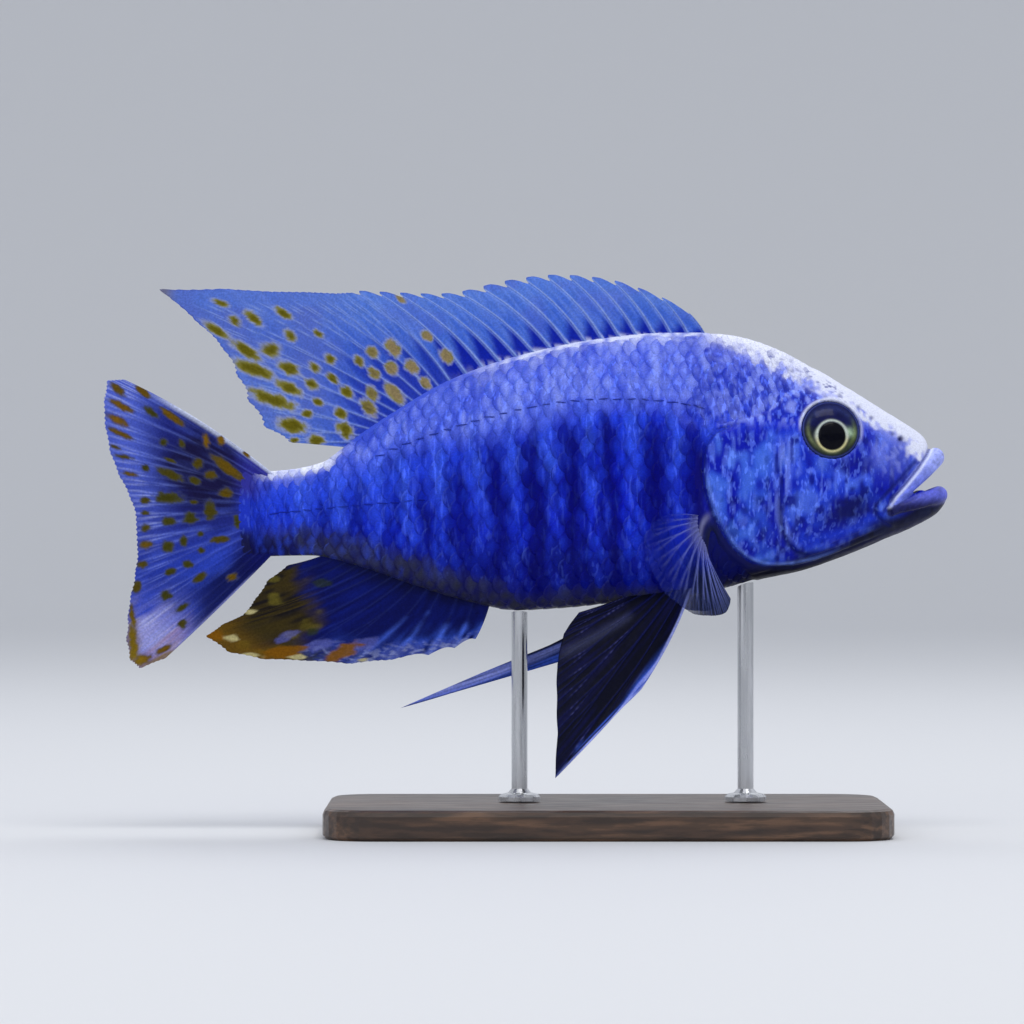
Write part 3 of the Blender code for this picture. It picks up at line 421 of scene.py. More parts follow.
def flank_y(x, z):
    """How far the skin is from the middle plane at that height."""
    middle = widest_height(x)
    above = z >= middle
    reach = np.where(above, back(x) - middle, middle - belly(x))
    fullness = np.where(above, back_fullness(x), belly_fullness(x))
    share = np.minimum(np.abs(z - middle) / reach, 1.0)
    return half_width(x) * (1 - share**fullness) ** (1 / fullness)


def line_distance(x, z, line):
    """Distance to a polyline, positive on its left, how far along the nearest place is, and its length."""
    best = np.full(np.shape(x), 1e9)
    signed = np.zeros(np.shape(x))
    along = np.zeros(np.shape(x))
    run = 0.0
    for (ax, az), (bx, bz) in zip(line, line[1:]):
        dx, dz = bx - ax, bz - az
        length = math.hypot(dx, dz)
        t = np.clip(((x - ax) * dx + (z - az) * dz) / length**2, 0.0, 1.0)
        away = np.hypot(x - ax - t * dx, z - az - t * dz)
        side = np.sign(dx * (z - az) - dz * (x - ax))
        nearer = away < best
        best = np.where(nearer, away, best)
        signed = np.where(nearer, away * side, signed)
        along = np.where(nearer, run + t * length, along)
        run += length
    return signed, along, run


def off_line(x, z, line):
    """The signed distance from a polyline alone."""
    return line_distance(x, z, line)[0]


def groove(x, z, line, width, fade=2.0):
    """1 on the line, 0 away from it, and fading out towards its ends."""
    signed, along, total = line_distance(x, z, line)
    ends = smooth(0.0, fade, along) * smooth(0.0, fade, total - along)
    return bell(signed, width) * ends


def unit(vectors):
    return vectors / np.maximum(np.linalg.norm(vectors, axis=-1, keepdims=True), 1e-12)


def make_mesh(name, points, faces, scale=MM, lift=AXIS_HEIGHT):
    """A mesh from points in millimetres from the body axis and a list of arrays of faces of one size each."""
    mesh = bpy.data.meshes.new(name)
    places = np.array(points, float)
    places[:, 2] += lift
    places *= scale
    faces = [np.asarray(f) for f in faces if len(f)]
    loops = np.concatenate([f.ravel() for f in faces]).astype(np.int32)
    sizes = np.concatenate([np.full(len(f), f.shape[1]) for f in faces])
    starts = np.concatenate([[0], np.cumsum(sizes)[:-1]]).astype(np.int32)
    mesh.vertices.add(len(places))
    mesh.vertices.foreach_set("co", places.astype(np.float32).ravel())
    mesh.loops.add(len(loops))
    mesh.loops.foreach_set("vertex_index", loops)
    mesh.polygons.add(len(sizes))
    mesh.polygons.foreach_set("loop_start", starts)
    mesh.update(calc_edges=True)
    mesh.validate()
    mesh.shade_smooth()
    return mesh


def face_out(mesh):
    """Turn every face of a closed mesh outwards."""
    bm = bmesh.new()
    bm.from_mesh(mesh)
    bmesh.ops.recalc_face_normals(bm, faces=bm.faces)
    bm.to_mesh(mesh)
    bm.free()


def numbered(rows, count):
    """The vertex numbers of a grid, row by row."""
    return np.arange(rows * count).reshape(rows, count)


def tube_faces(rows, turned=False):
    """Faces between rows of vertex numbers that each close on themselves."""
    ahead = np.roll(rows, -1, 1)
    quads = np.stack([rows[:-1], ahead[:-1], ahead[1:], rows[1:]], 2).reshape(-1, 4)
    return quads[:, (0, 3, 2, 1)] if turned else quads


def sheet_faces(index):
    return np.stack([index[:-1, :-1], index[1:, :-1], index[1:, 1:], index[:-1, 1:]], -1).reshape(-1, 4)


def sheet_rim(index):
    """The vertex numbers round the edge of a sheet, in order."""
    return np.concatenate([index[0, :-1], index[:-1, -1], index[-1, :0:-1], index[:0:-1, 0]])


def add_piece(name, mesh, material, nodes=()):
    """The mesh as a piece of the model, in place of the named solids."""
    obj = bpy.data.objects.new(name, mesh)
    bpy.context.scene.collection.objects.link(obj)
    mesh.materials.append(material)
    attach(obj, "root")
    if nodes:
        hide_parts(*nodes)


def set_colour(mesh, values, name="paint"):
    attribute = mesh.attributes.new(name, "FLOAT_COLOR", "POINT")
    filled = np.ones((len(values), 4), np.float32)
    filled[:, :3] = values
    attribute.data.foreach_set("color", filled.ravel())


def set_value(mesh, name, values):
    attribute = mesh.attributes.new(name, "FLOAT", "POINT")
    attribute.data.foreach_set("value", np.asarray(values, np.float32).ravel())


def vertex_normals(mesh):
    normals = np.empty(len(mesh.vertices) * 3, np.float32)
    mesh.vertex_normals.foreach_get("vector", normals)
    return normals.reshape(-1, 3).astype(float)


# Materials


def node(tree, kind, settings=None, **inputs):
    """A new shader node. Inputs are values or other nodes' sockets, by name or by place as i0, i1."""
    made = tree.nodes.new(kind)
    for key, value in (settings or {}).items():
        setattr(made, key, value)
    for key, value in inputs.items():
        place = int(key[1:]) if key[0] == "i" and key[1:].isdigit() else key.replace("_", " ")
        if isinstance(value, bpy.types.NodeSocket):
            tree.links.new(value, made.inputs[place])
        else:
            made.inputs[place].default_value = value
    return made


def ramp(tree, source, low, high, to_low=0.0, to_high=1.0):
    made = node(tree, "ShaderNodeMapRange", {"interpolation_type": "SMOOTHSTEP"}, Value=source)
    for key, value in (("From Min", low), ("From Max", high), ("To Min", to_low), ("To Max", to_high)):
        made.inputs[key].default_value = value
    return made.outputs["Result"]


def sums(tree, operation, first, second):
    return node(tree, "ShaderNodeMath", {"operation": operation}, i0=first, i1=second).outputs[0]


def blend(tree, share, first, second, kind="MIX"):
    """Two colours mixed, multiplied or overlaid by share."""
    made = tree.nodes.new("ShaderNodeMix")
    made.data_type = "RGBA"
    made.blend_type = kind
    for place, value in ((0, share), (6, first), (7, second)):
        if isinstance(value, bpy.types.NodeSocket):
            tree.links.new(value, made.inputs[place])
        else:
            made.inputs[place].default_value = value
    return made.outputs[2]


def new_material(name, **uniform):
    """A material with its Principled shader. uniform sets the values that are the same all over."""
    material = bpy.data.materials.new(name)
    material.use_nodes = True
    tree = material.node_tree
    shader = tree.nodes["Principled BSDF"]
    for key, value in uniform.items():
        shader.inputs[key.replace("_", " ")].default_value = value
    return material, tree, shader


def attribute(tree, name, kind="Color"):
    return node(tree, "ShaderNodeAttribute", {"attribute_name": name}).outputs[kind]


def object_noise(tree, size, stretch=(1.0, 1.0, 1.0), detail=2.0, roughness=0.55):
    """Noise whose features are about size millimetres across, in the model's own space."""
    place = node(tree, "ShaderNodeTexCoord").outputs["Object"]
    if stretch != (1.0, 1.0, 1.0):
        place = node(tree, "ShaderNodeMapping", Vector=place, Scale=stretch).outputs["Vector"]
    made = node(tree, "ShaderNodeTexNoise", Vector=place)
    made.inputs["Scale"].default_value = 1000.0 / size
    made.inputs["Detail"].default_value = detail
    made.inputs["Roughness"].default_value = roughness
    return made.outputs["Fac"]


def bump(tree, height, distance, strength=1.0, under=None):
    made = node(tree, "ShaderNodeBump", Height=height, Distance=distance, Strength=strength)
    if under is not None:
        tree.links.new(under, made.inputs["Normal"])
    return made.outputs["Normal"]


def painted(name, fine, rough, bumps, **uniform):
    """A material that takes its colour from the piece's paint, broken up by fine variation.

    fine is (size, least, most) of the variation, rough is that of the roughness, and bumps has (size, depth).
    """
    material, tree, shader = new_material(name, **uniform)
    colour = attribute(tree, "paint")
    size, least, most = fine
    shade = ramp(tree, object_noise(tree, size), 0.3, 0.7, least, most)
    grey = node(tree, "ShaderNodeCombineColor", Red=shade, Green=shade, Blue=shade).outputs[0]
    tree.links.new(blend(tree, 1.0, colour, grey, "MULTIPLY"), shader.inputs["Base Color"])
    size, least, most = rough
    roughness = ramp(tree, object_noise(tree, size, detail=1.0), 0.3, 0.7, least, most)
    tree.links.new(roughness, shader.inputs["Roughness"])
    normal = None
    for size, distance in bumps:
        normal = bump(tree, object_noise(tree, size, detail=2.0), distance * MM, 1.0, normal)
    tree.links.new(normal, shader.inputs["Normal"])
    return material, tree, shader


def flecked(tree, shader, size, stretch, colour):
    """Small bright marks added to the paint, where the piece's fleck value allows them."""
    marks = ramp(tree, object_noise(tree, size, stretch, 1.0), 0.54, 0.68)
    chance = sums(tree, "MULTIPLY", marks, attribute(tree, "fleck", "Fac"))
    under = shader.inputs["Base Color"].links[0].from_socket
    tree.links.new(blend(tree, chance, under, (*colour, 1.0), "ADD"), shader.inputs["Base Color"])


# Colours of the body


def bar_wander(x, z):
    """The bars and streaks waver a little and lean."""
    wander = x + 0.05 * (z - 2.0) + 1.1 * noise(x, 0, z, (5, 1, 7), 3)
    return wander + 0.7 * noise(x, 0, z, (1.5, 1, 4), 4)


def bar_share(x, z):
    """How dark the flank is from its bars, which start under the lateral line and fade to the rear."""
    lean = bar_wander(x, z)
    dark = np.zeros(np.shape(x))
    for place in BARS:
        width = 2.5 + 0.4 * math.sin(place * 1.7) + (0.5 if place > 24.0 else 0.0)
        dark = np.maximum(dark, bell(lean - place, width))
    below = smooth(-1, 9.0 + 5.0 * smooth(5, -25, x), lateral_height(x) - z)
    return dark * below * (0.35 + 0.65 * smooth(-38, 2, x))


def above_share(x, z):
    """0 under the lateral line and 1 above it, with the pale upper part reaching lower amidships."""
    low = 3.0 * bell(x + 4, 13)
    return smooth(-4.0 - low, 3.0 - low, z - lateral_height(x))


def streak_share(x, z):
    """The light streaks that stand between the bars."""
    lean = bar_wander(x, z)
    light = np.zeros(np.shape(x))
    for first, second in zip([41.5, *BARS], [*BARS, -48.5]):
        light = np.maximum(light, bell(lean - (first + second) / 2, 1.7))
    below = smooth(-4, 2, lateral_height(x) - z)
    low = 1 - 0.7 * smooth(6, 24, lateral_height(x) - z)
    broken = 0.6 + 0.7 * noise(x, 0, z, (1, 1, 3.4), 5)
    return clamp(light * below * low * broken)


def blaze_share(x, y, z, depth):
    """1 on the white blaze, which runs from the dorsal fin down the forehead to the snout."""
    reach = 3.0 + 1.4 * smooth(38, 52, x) - 0.4 * smooth(62, 74, x) + 0.9 * smooth(74, 79, x)
    ragged = reach + 1.5 * noise(x, y, z, (2.2, 2.2, 1.6), 15) + 1.0 * noise(x, y, z, 0.8, 16)
    return smooth(1.2, -0.9, depth - ragged) * smooth(34, 39, x)


def face_share(x, z):
    """1 on the cheek and gill cover, 0 behind the cover's edge and above on the nape."""
    edge = off_line(x, z, GILL_EDGE)
    return smooth(-0.6, 0.4, edge) * smooth(17, 12, z)


def cheek_shadow(x, z):
    """1 in the hollow behind the corner of the mouth, where shade is painted."""
    u, v = (x - 64.6) * 0.87 + (z + 1.5) * 0.5, -(x - 64.6) * 0.5 + (z + 1.5) * 0.87
    wobble = 0.8 * noise(x, 0 * x, z, (1.2, 1, 0.9), 27)
    return blob(u, v + wobble, 5.4, 2.5)


def face_patches(colour, x, y, z, face):
    """Light blue mottling and pale flecks over the cheek and gill cover, with darker patches and painted
    shade in the hollows.
    """
    patch = noise(x, y, z, (3, 3, 4.6), 11) + 0.5 * noise(x, y, z, (1.3, 1.4, 2), 18)
    colour.over(8, 24, 172, face)
    colour.over(34, 66, 214, face * smooth(-0.35, 0.35, patch) * 0.8)
    colour.over(90, 126, 238, face * smooth(0.2, 0.9, patch) * 0.55)
    streaks = smooth(0.15, 0.5, noise(x, y, z, (0.55, 1, 2.4), 12))
    colour.over(104, 132, 242, face * streaks * 0.4)
    front_edge = off_line(x, z, PREOPERCLE)
    combed = bell(front_edge - 0.2, 1.5) * between(z, -9.5, -6, 10, 14)
    combed = combed * smooth(-0.2, 0.3, noise(x, y, z, (0.5, 1, 3.6), 14))
    colour.over(122, 144, 244, combed * 0.75)
    pits = smooth(0.15, 0.6, noise(x, y, z, (1, 1.2, 2), 13))
    colour.over(4, 12, 128, face * pits * 0.85)
    cover = face * smooth(50.5, 47.5, x)
    colour.over(70, 116, 228, cover * smooth(-0.3, 0.5, patch) * 0.5)
    wobble = 0.5 * noise(x, y, z, 1.6, 19)
    under_eye = blob(x - 67.5, z - 7.4 + wobble, 4, 1.5)
    colour.over(14, 20, 128, under_eye * 0.7)
    band = off_line(x, z, [(62.5, 6.2), (67.5, 4.6), (72.6, 3.6)])
    colour.over(78, 108, 234, bell(band + 2 * wobble, 1.2) * smooth(-0.3, 0.3, patch) * 0.7)
    colour.over(6, 12, 84, clamp(1.15 * cheek_shadow(x, z)) * 0.92)
    jaw = off_line(x, z, [(55.5, -8.0), (64.0, -6.2), (70.6, -3.2)])
    colour.over(26, 58, 214, bell(jaw + wobble, 1.1) * 0.75 * face)
    corner = bell(np.hypot(x - 41, z - 10.6), 3)
    colour.over(92, 132, 234, corner * face * smooth(-0.6, 0.3, patch) * 0.75)
    lacrimal = blob(x - 71, z - 9.4, 2.6, 2.4)
    colour.over(112, 122, 226, lacrimal * smooth(-0.4, 0.6, patch) * 0.7)


def body_colour(x, y, z):
    """The colour of skin and scales at a place on the body."""
    depth = back(x) - z
    height = z - belly(x)
    middle = np.abs(y)
    x, z = drawn(x, y, z)
    above = above_share(x, z)
    rear = smooth(10, -45, x)
    colour = Layers(x, 0, 18, 220)
    colour.over(6, 38, 208, rear * 0.8)
    blotch = noise(x, y, z, (2.4, 3, 5), 1)
    colour.over(12, 48, 224, smooth(-0.2, 0.7, blotch) * 0.6)
    high = smooth(16, 0, lateral_height(x) - z) * (0.5 + 0.5 * rear)
    colour.over(46, 80, 222, high * 0.7 * (1 - 0.35 * smooth(6, 30, x)))
    colour.over(0, 0, 108, bar_share(x, z))
    colour.over(66, 102, 240, streak_share(x, z) * (1 - 0.3 * smooth(8, 30, x)))
    # Darker towards the belly: painted shade, as though the light fell from above
    colour.over(6, 14, 108, smooth(-4, -15, z) * 0.6)
    colour.blend(tones((76, 98, 218), (62, 86, 208), rear), above * 0.9)
    colour.over(112, 130, 228, above * smooth(-0.4, 0.8, blotch) * 0.7 * smooth(-40, 10, x))

    # The nape is broken into lavender flecks
    worm = noise(x + 0.6 * noise(x, y, z, 2, 8), y, z + 0.5 * x, (0.6, 1, 1.3), 9)
    nape = smooth(26, 38, x) * smooth(13, 18, z)
    colour.over(30, 48, 186, nape * 0.85)
    colour.over(132, 148, 238, nape * smooth(-0.08, 0.37, worm) * 0.85)
    colour.over(8, 18, 142, nape * smooth(-0.2, -0.5, worm) * 0.75)
    face_patches(colour, x, y, z, face_share(x, z))
    muzzle = smooth(66, 74, x) * smooth(2, 9, z)
    colour.over(84, 100, 204, muzzle * 0.6)
    colour.over(130, 142, 228, muzzle * smooth(0, 0.6, worm) * 0.6)

    blaze = blaze_share(x, y, z, depth)
    mottle = smooth(0.1, 0.7, worm) * smooth(1.6, 3.2, depth)
    colour.over(134, 144, 230, smooth(2.2, -0.4, depth - 4.6) * smooth(36, 44, x) * 0.6)
    colour.blend(tones((220, 224, 244), (150, 158, 234), mottle * 0.75), blaze)
    speck = smooth(0.42, 0.62, noise(x, y, z, (0.62, 0.7, 0.5), 61))
    speck = speck * smooth(0.7, 2, depth) * smooth(37, 40, x)
    colour.over(52, 60, 150, speck * blaze * smooth(68, 60, x) * 0.8)
    beads = 0.6 * worm + 1.3 * noise(x, y, z, (1.7, 1, 1), 28)
    line = smooth(2.3, 0.5, depth + beads) * smooth(-18, 2, x) * smooth(40, 32, x)
    broken = smooth(-0.35, 0.15, noise(x + 0.3 * z, 0 * x, z, (0.6, 1, 1.6), 59))
    colour.over(222, 228, 252, line * (0.3 + 0.7 * broken))
    for px, pz in PORES:
        colour.over(92, 98, 150, bell(np.hypot(x - px, z - pz), 0.42) * 0.8)
    stalk = smooth(2.2, 0.6, depth - 0.5) * smooth(-34, -40, x)
    colour.over(238, 242, 254, stalk * clamp(0.85 + 0.5 * worm) * smooth(-57, -52, x))

    # The underside is near black: partly its own colour, partly painted shade out of the light from above
    limit = 1.4 + 1.0 * smooth(30, 46, x) + 1.5 * smooth(62, 72, x) + 2.2 * smooth(2, -14, x)
    limit = limit + 1.6 * smooth(34, 14, x)
    dark = smooth(2.4, -1.2, height - limit - 1.0 * noise(x, y, z, (4, 3, 2), 17))
    edge = off_line(x, z, GILL_EDGE)
    chest = smooth(-0.1, -1, edge) * smooth(33, 37, x) * smooth(1, -6, z) * smooth(66, 58, x)
    colour.over(10, 16, 68, chest * 0.9)
    dark = np.maximum(dark, smooth(5.2, 1, middle) * smooth(9, 3, height))
    colour.blend(tones((54, 56, 58), (8, 11, 24), smooth(32, 42, x)), dark * 0.95)
    colour.blend(tail_root_colour(z), smooth(-49.5, -55, x + 0.9 * worm) * 0.92)
    corner = smooth(-42, -50, x) * smooth(-6, -9, z + 0.25 * (x + 50))
    colour.over(10, 12, 56, corner * 0.85)
    return colour


def tail_root_colour(z):
    """Where body and tail fin meet: violet above, blue in the middle, near black below."""
    tone = tones((26, 50, 186), (44, 42, 140), smooth(-1, 3, z))
    return mix(tone, rgb(10, 16, 92), smooth(-5, -9, z))


def strands(x, y, z):
    """Fine upright strands over the flank, from -1 where dark to 1 where light."""
    lean = x + 0.08 * z
    return noise(lean, y, z, (0.62, 3, 3.4), 24) + 0.6 * noise(lean, y, z, (1.3, 3, 6), 29)


def fleck_share(x, y, z):
    """How far the small bright marks show: on the face, nape and between the bars, not on blaze or belly."""
    depth, height = back(x) - z, z - belly(x)
    x, z = drawn(x, y, z)
    nape = smooth(26, 38, x) * smooth(13, 18, z)
    face = face_share(x, z) * (1 - nape) * smooth(75, 68, x) * (1 - cheek_shadow(x, z)) * 0.8
    above = smooth(-2, 3, z - lateral_height(x))
    flank = (0.3 + 0.7 * streak_share(x, z) + 0.5 * above) * smooth(38, 34, x)
    flank = flank * (1 - 0.8 * bar_share(x, z))
    share = np.maximum(np.maximum(nape * 0.9, face), flank)
    return share * smooth(2.6, 5.5, depth) * smooth(3, 7, height)


# Skin


def full_turn(count):
    return 2 * math.pi * np.arange(count) / count


def flat_object(name, points, faces):
    """A loose object in plain millimetres from the fish's axis."""
    return bpy.data.objects.new(name, make_mesh(name, points, faces, 1.0, 0.0))


def prism(name, outline):
    """A side-view outline pushed through from one side to the other, in millimetres."""
    area = sum(a[0] * b[1] - b[0] * a[1] for a, b in zip(outline, outline[1:] + outline[:1]))
    ordered = outline if area > 0 else outline[::-1]
    n = len(ordered)
    points = [(x, -20.0, z) for x, z in ordered] + [(x, 20.0, z) for x, z in ordered]
    sides = [(i, i + n, (i + 1) % n + n, (i + 1) % n) for i in range(n)]
    ends = [tuple(range(n)), tuple(range(2 * n - 1, n - 1, -1))]
    return flat_object(name, points, [np.array(ends), np.array(sides)])


def lip_line(spec):
    """Centres of a lip's roll from one corner of the mouth to the other, and its radius at each."""
    share = np.arange(LIP_STEPS + 1) / LIP_STEPS
    angle = math.pi * (share - 0.5)
    forward = np.maximum(np.cos(angle), 0.0) ** 0.8
    x, z = (a + (b - a) * forward for a, b in zip(spec["rear"], spec["front"]))
    centres = np.stack([x, LIP_HALF_SPAN * np.sin(angle), z], 1)
    radii = spec["roll"] * (0.45 + 0.55 * np.maximum(np.sin(math.pi * share), 0.0) ** 0.7)
    return centres, radii


def lip(name, spec):
    """A rolled lip as a closed tube round the front of the mouth."""
    centres, radii = lip_line(spec)
    along = unit(np.gradient(centres, axis=0))
    lean = np.array([-spec["lean"], 0.0, 1.0])
    side = unit(np.cross(along, lean / np.linalg.norm(lean)))
    up = unit(np.cross(side, along))
    turn = full_turn(LIP_SIDES)
    ring = side[:, None] * np.cos(turn)[:, None] + up[:, None] * np.sin(turn)[:, None]
    points = (centres[:, None] + ring * radii[:, None, None]).reshape(-1, 3)
    rows = numbered(LIP_STEPS + 1, LIP_SIDES)
    return flat_object(name, points, [tube_faces(rows), np.array([rows[0][::-1], rows[-1]])])


def applied(obj):
    """The object's mesh with its modifiers applied."""
    graph = bpy.context.evaluated_depsgraph_get()
    return bpy.data.meshes.new_from_object(obj.evaluated_get(graph))


def snout_mesh():
    """The front of the head with the open mouth and both lips, as one even mesh cut off square behind."""
    closeness = 1 - (1 - np.linspace(0, 1, LOFT_STATIONS)) ** 1.35
    x = np.repeat(LOFT_START_X + (SNOUT_X - LOFT_START_X) * closeness, LOFT_SIDES)
    y, z = section(x, np.tile(full_turn(LOFT_SIDES), LOFT_STATIONS))
    rows = numbered(LOFT_STATIONS, LOFT_SIDES)
    caps = np.array([rows[0], rows[-1][::-1]])
    loft = flat_object("snout", np.stack([x, y, z], 1), [tube_faces(rows, True), caps])
    parts = [loft, prism("mouth", MOUTH_OPENING), lip("upper", UPPER_LIP), lip("lower", LOWER_LIP)]
    for part in parts:
        bpy.context.scene.collection.objects.link(part)
        face_out(part.data)
    for part, operation in zip(parts[1:], ("DIFFERENCE", "UNION", "UNION")):
        modifier = loft.modifiers.new(operation, "BOOLEAN")
        modifier.operation = operation
        modifier.solver = "MANIFOLD"
        modifier.object = part
    remesh = loft.modifiers.new("remesh", "REMESH")
    remesh.mode = "VOXEL"
    remesh.voxel_size = VOXEL
    remesh.adaptivity = 0.0
    even = loft.modifiers.new("even", "SMOOTH")
    even.factor, even.iterations = 0.5, 4
    mesh = applied(loft)
    for part in parts:
        data = part.data
        bpy.data.objects.remove(part)
        bpy.data.meshes.remove(data)
    bm = bmesh.new()
    bm.from_mesh(mesh)
    bpy.data.meshes.remove(mesh)
    everything = bm.verts[:] + bm.edges[:] + bm.faces[:]
    bmesh.ops.bisect_plane(
        bm, geom=everything, plane_co=(SNOUT_CUT_X, 0, 0), plane_no=(1, 0, 0), clear_inner=True, dist=1e-5
    )
    rim = [v for v in bm.verts if v.is_boundary]
    bmesh.ops.remove_doubles(bm, verts=rim, dist=0.06)
    bm.verts.ensure_lookup_table()
    bm.verts.index_update()
    start = next(v for v in bm.verts if v.is_boundary)
    loop, previous = [start], None
    while True:
        here = loop[-1]
        ahead = [e.other_vert(here) for e in here.link_edges if e.is_boundary]
        ahead = [v for v in ahead if v is not previous and (v is not start or len(loop) > 2)]
        if not ahead or ahead[0] is start:
            break
        previous = here
        loop.append(ahead[0])
    points = np.array([v.co[:] for v in bm.verts])
    faces = {}
    for face in bm.faces:
        faces.setdefault(len(face.verts), []).append([v.index for v in face.verts])
    order = [v.index for v in loop]
    bm.free()
    return points, [np.array(f) for f in faces.values()], order


def eye_frame(side):
    """The eye's centre and its own forward, outward and upward directions."""
    up = Matrix.Rotation(math.radians(EYE_TILT_UP * side), 3, "X")
    forward = Matrix.Rotation(math.radians(-EYE_TURN_FORWARD * side), 3, "Z")
    turn = np.array(forward @ up)
    centre = np.array([EYE_X, side * (flank_y(EYE_X, EYE_HEIGHT) + EYE_PROUD - EYE_DEPTH), EYE_HEIGHT])
    return centre, turn[:, 0], turn[:, 1] * side, turn[:, 2]


def round_eye(points, side):
    """Each point's place ahead of, out from and above the eye's centre, and its distance from the axis."""
    centre, ahead, out, up = eye_frame(side)
    local = points - centre
    u, w, v = local @ ahead, local @ out, local @ up
    return u, w, v, np.hypot(u, v)


def scaled_share(x, z):
    """1 where scales cover the skin, 0 on the bare head."""
    soft = 0.6 + 1.0 * smooth(16, 22, z)
    return smooth(soft, -soft, x - scaled_front(z) + 0.3 * soft)


def moved(line, dx, dz):
    return [(x + dx, z + dz) for x, z in line]


def relief(x, y, z):
    """How far the bare skin stands out from, or in from, the plain body."""
    low = z - belly(x)
    rise = back(x) - z
    x, z = drawn(x, y, z)
    edge, along, total = line_distance(x, z, GILL_EDGE)
    ends = smooth(1.5, 8.5, along) * smooth(0, 14, total - along)
    height = smooth(-0.1, 0.3, edge) * 0.55 * bell(np.maximum(edge, 0), 6) * ends
    height -= 0.45 * bell(edge + 0.4, 0.5) * ends
    height -= 0.32 * groove(x, z, PREOPERCLE, 0.42, 4) * (0.35 + 0.65 * smooth(7, -3, z))
    height += 0.2 * groove(x, z, moved(PREOPERCLE, 1.1, 0.3), 0.9, 4) * smooth(9, -2, z)
    height -= 0.42 * groove(x, z, LIP_FOLD, 0.34, 1)
    height -= 0.36 * groove(x, z, JAW_FOLD, 0.36, 1.5)
    height += 0.30 * groove(x, z, moved(JAW_FOLD, 0.9, 0.2), 0.8, 1.5)
    height -= 0.22 * groove(x, z, CHIN_FOLD, 0.4, 1.5)
    height += 0.35 * blob(x - 60, z + 0.5, 7, 6.5)
    nostril = np.hypot(x - NOSTRIL[0], z - NOSTRIL[1])
    height += 0.16 * bell(nostril - 0.75, 0.35) - 0.65 * bell(nostril, 0.42)
    for px, pz in PORES:
        height -= 0.14 * bell(np.hypot(x - px, z - pz), 0.3)
    # Folds of the throat run back under the gill covers
    span = between(x, 42, 48, 66, 73)
    for level in (1.3, 2.5, 3.6):
        height -= 0.2 * bell(low - level, 0.24) * span
    height -= 0.5 * bell(y, 0.5) * smooth(3, 0.5, low) * span
    # The fleshy root of each pectoral fin, and the pit before it
    height += blob(x - 34.6, z + 6.2, 1.9, 3.8)
    height -= 0.5 * blob(x - 37.2, z + 7.8, 0.8, 2.4)
    # A low ridge carries each of the unpaired fins
    ridge = bell(y, 1.5) * smooth(2.4, 0.6, rise) * smooth(-37, -33, x) * smooth(37.5, 35, x)
    height += 0.35 * ridge
    # Fine unevenness
    height += 0.05 * noise(x, y, z, 1.6, 21) * smooth(30, 40, x)
    height -= COAT_DEPTH * scaled_share(x, z) * smooth(-57.2, -55, x)
    return height


def on_lip(points, front, spec):
    """1 on a lip's roll and 0 away from it, looked for among the points in front."""
    centres, radii = lip_line(spec)
    away = np.full(len(points), 9.0)
    away[front] = (np.linalg.norm(points[front][:, None] - centres[None], axis=2) - radii[None]).min(1)
    return smooth(0.45, 0.05, away)


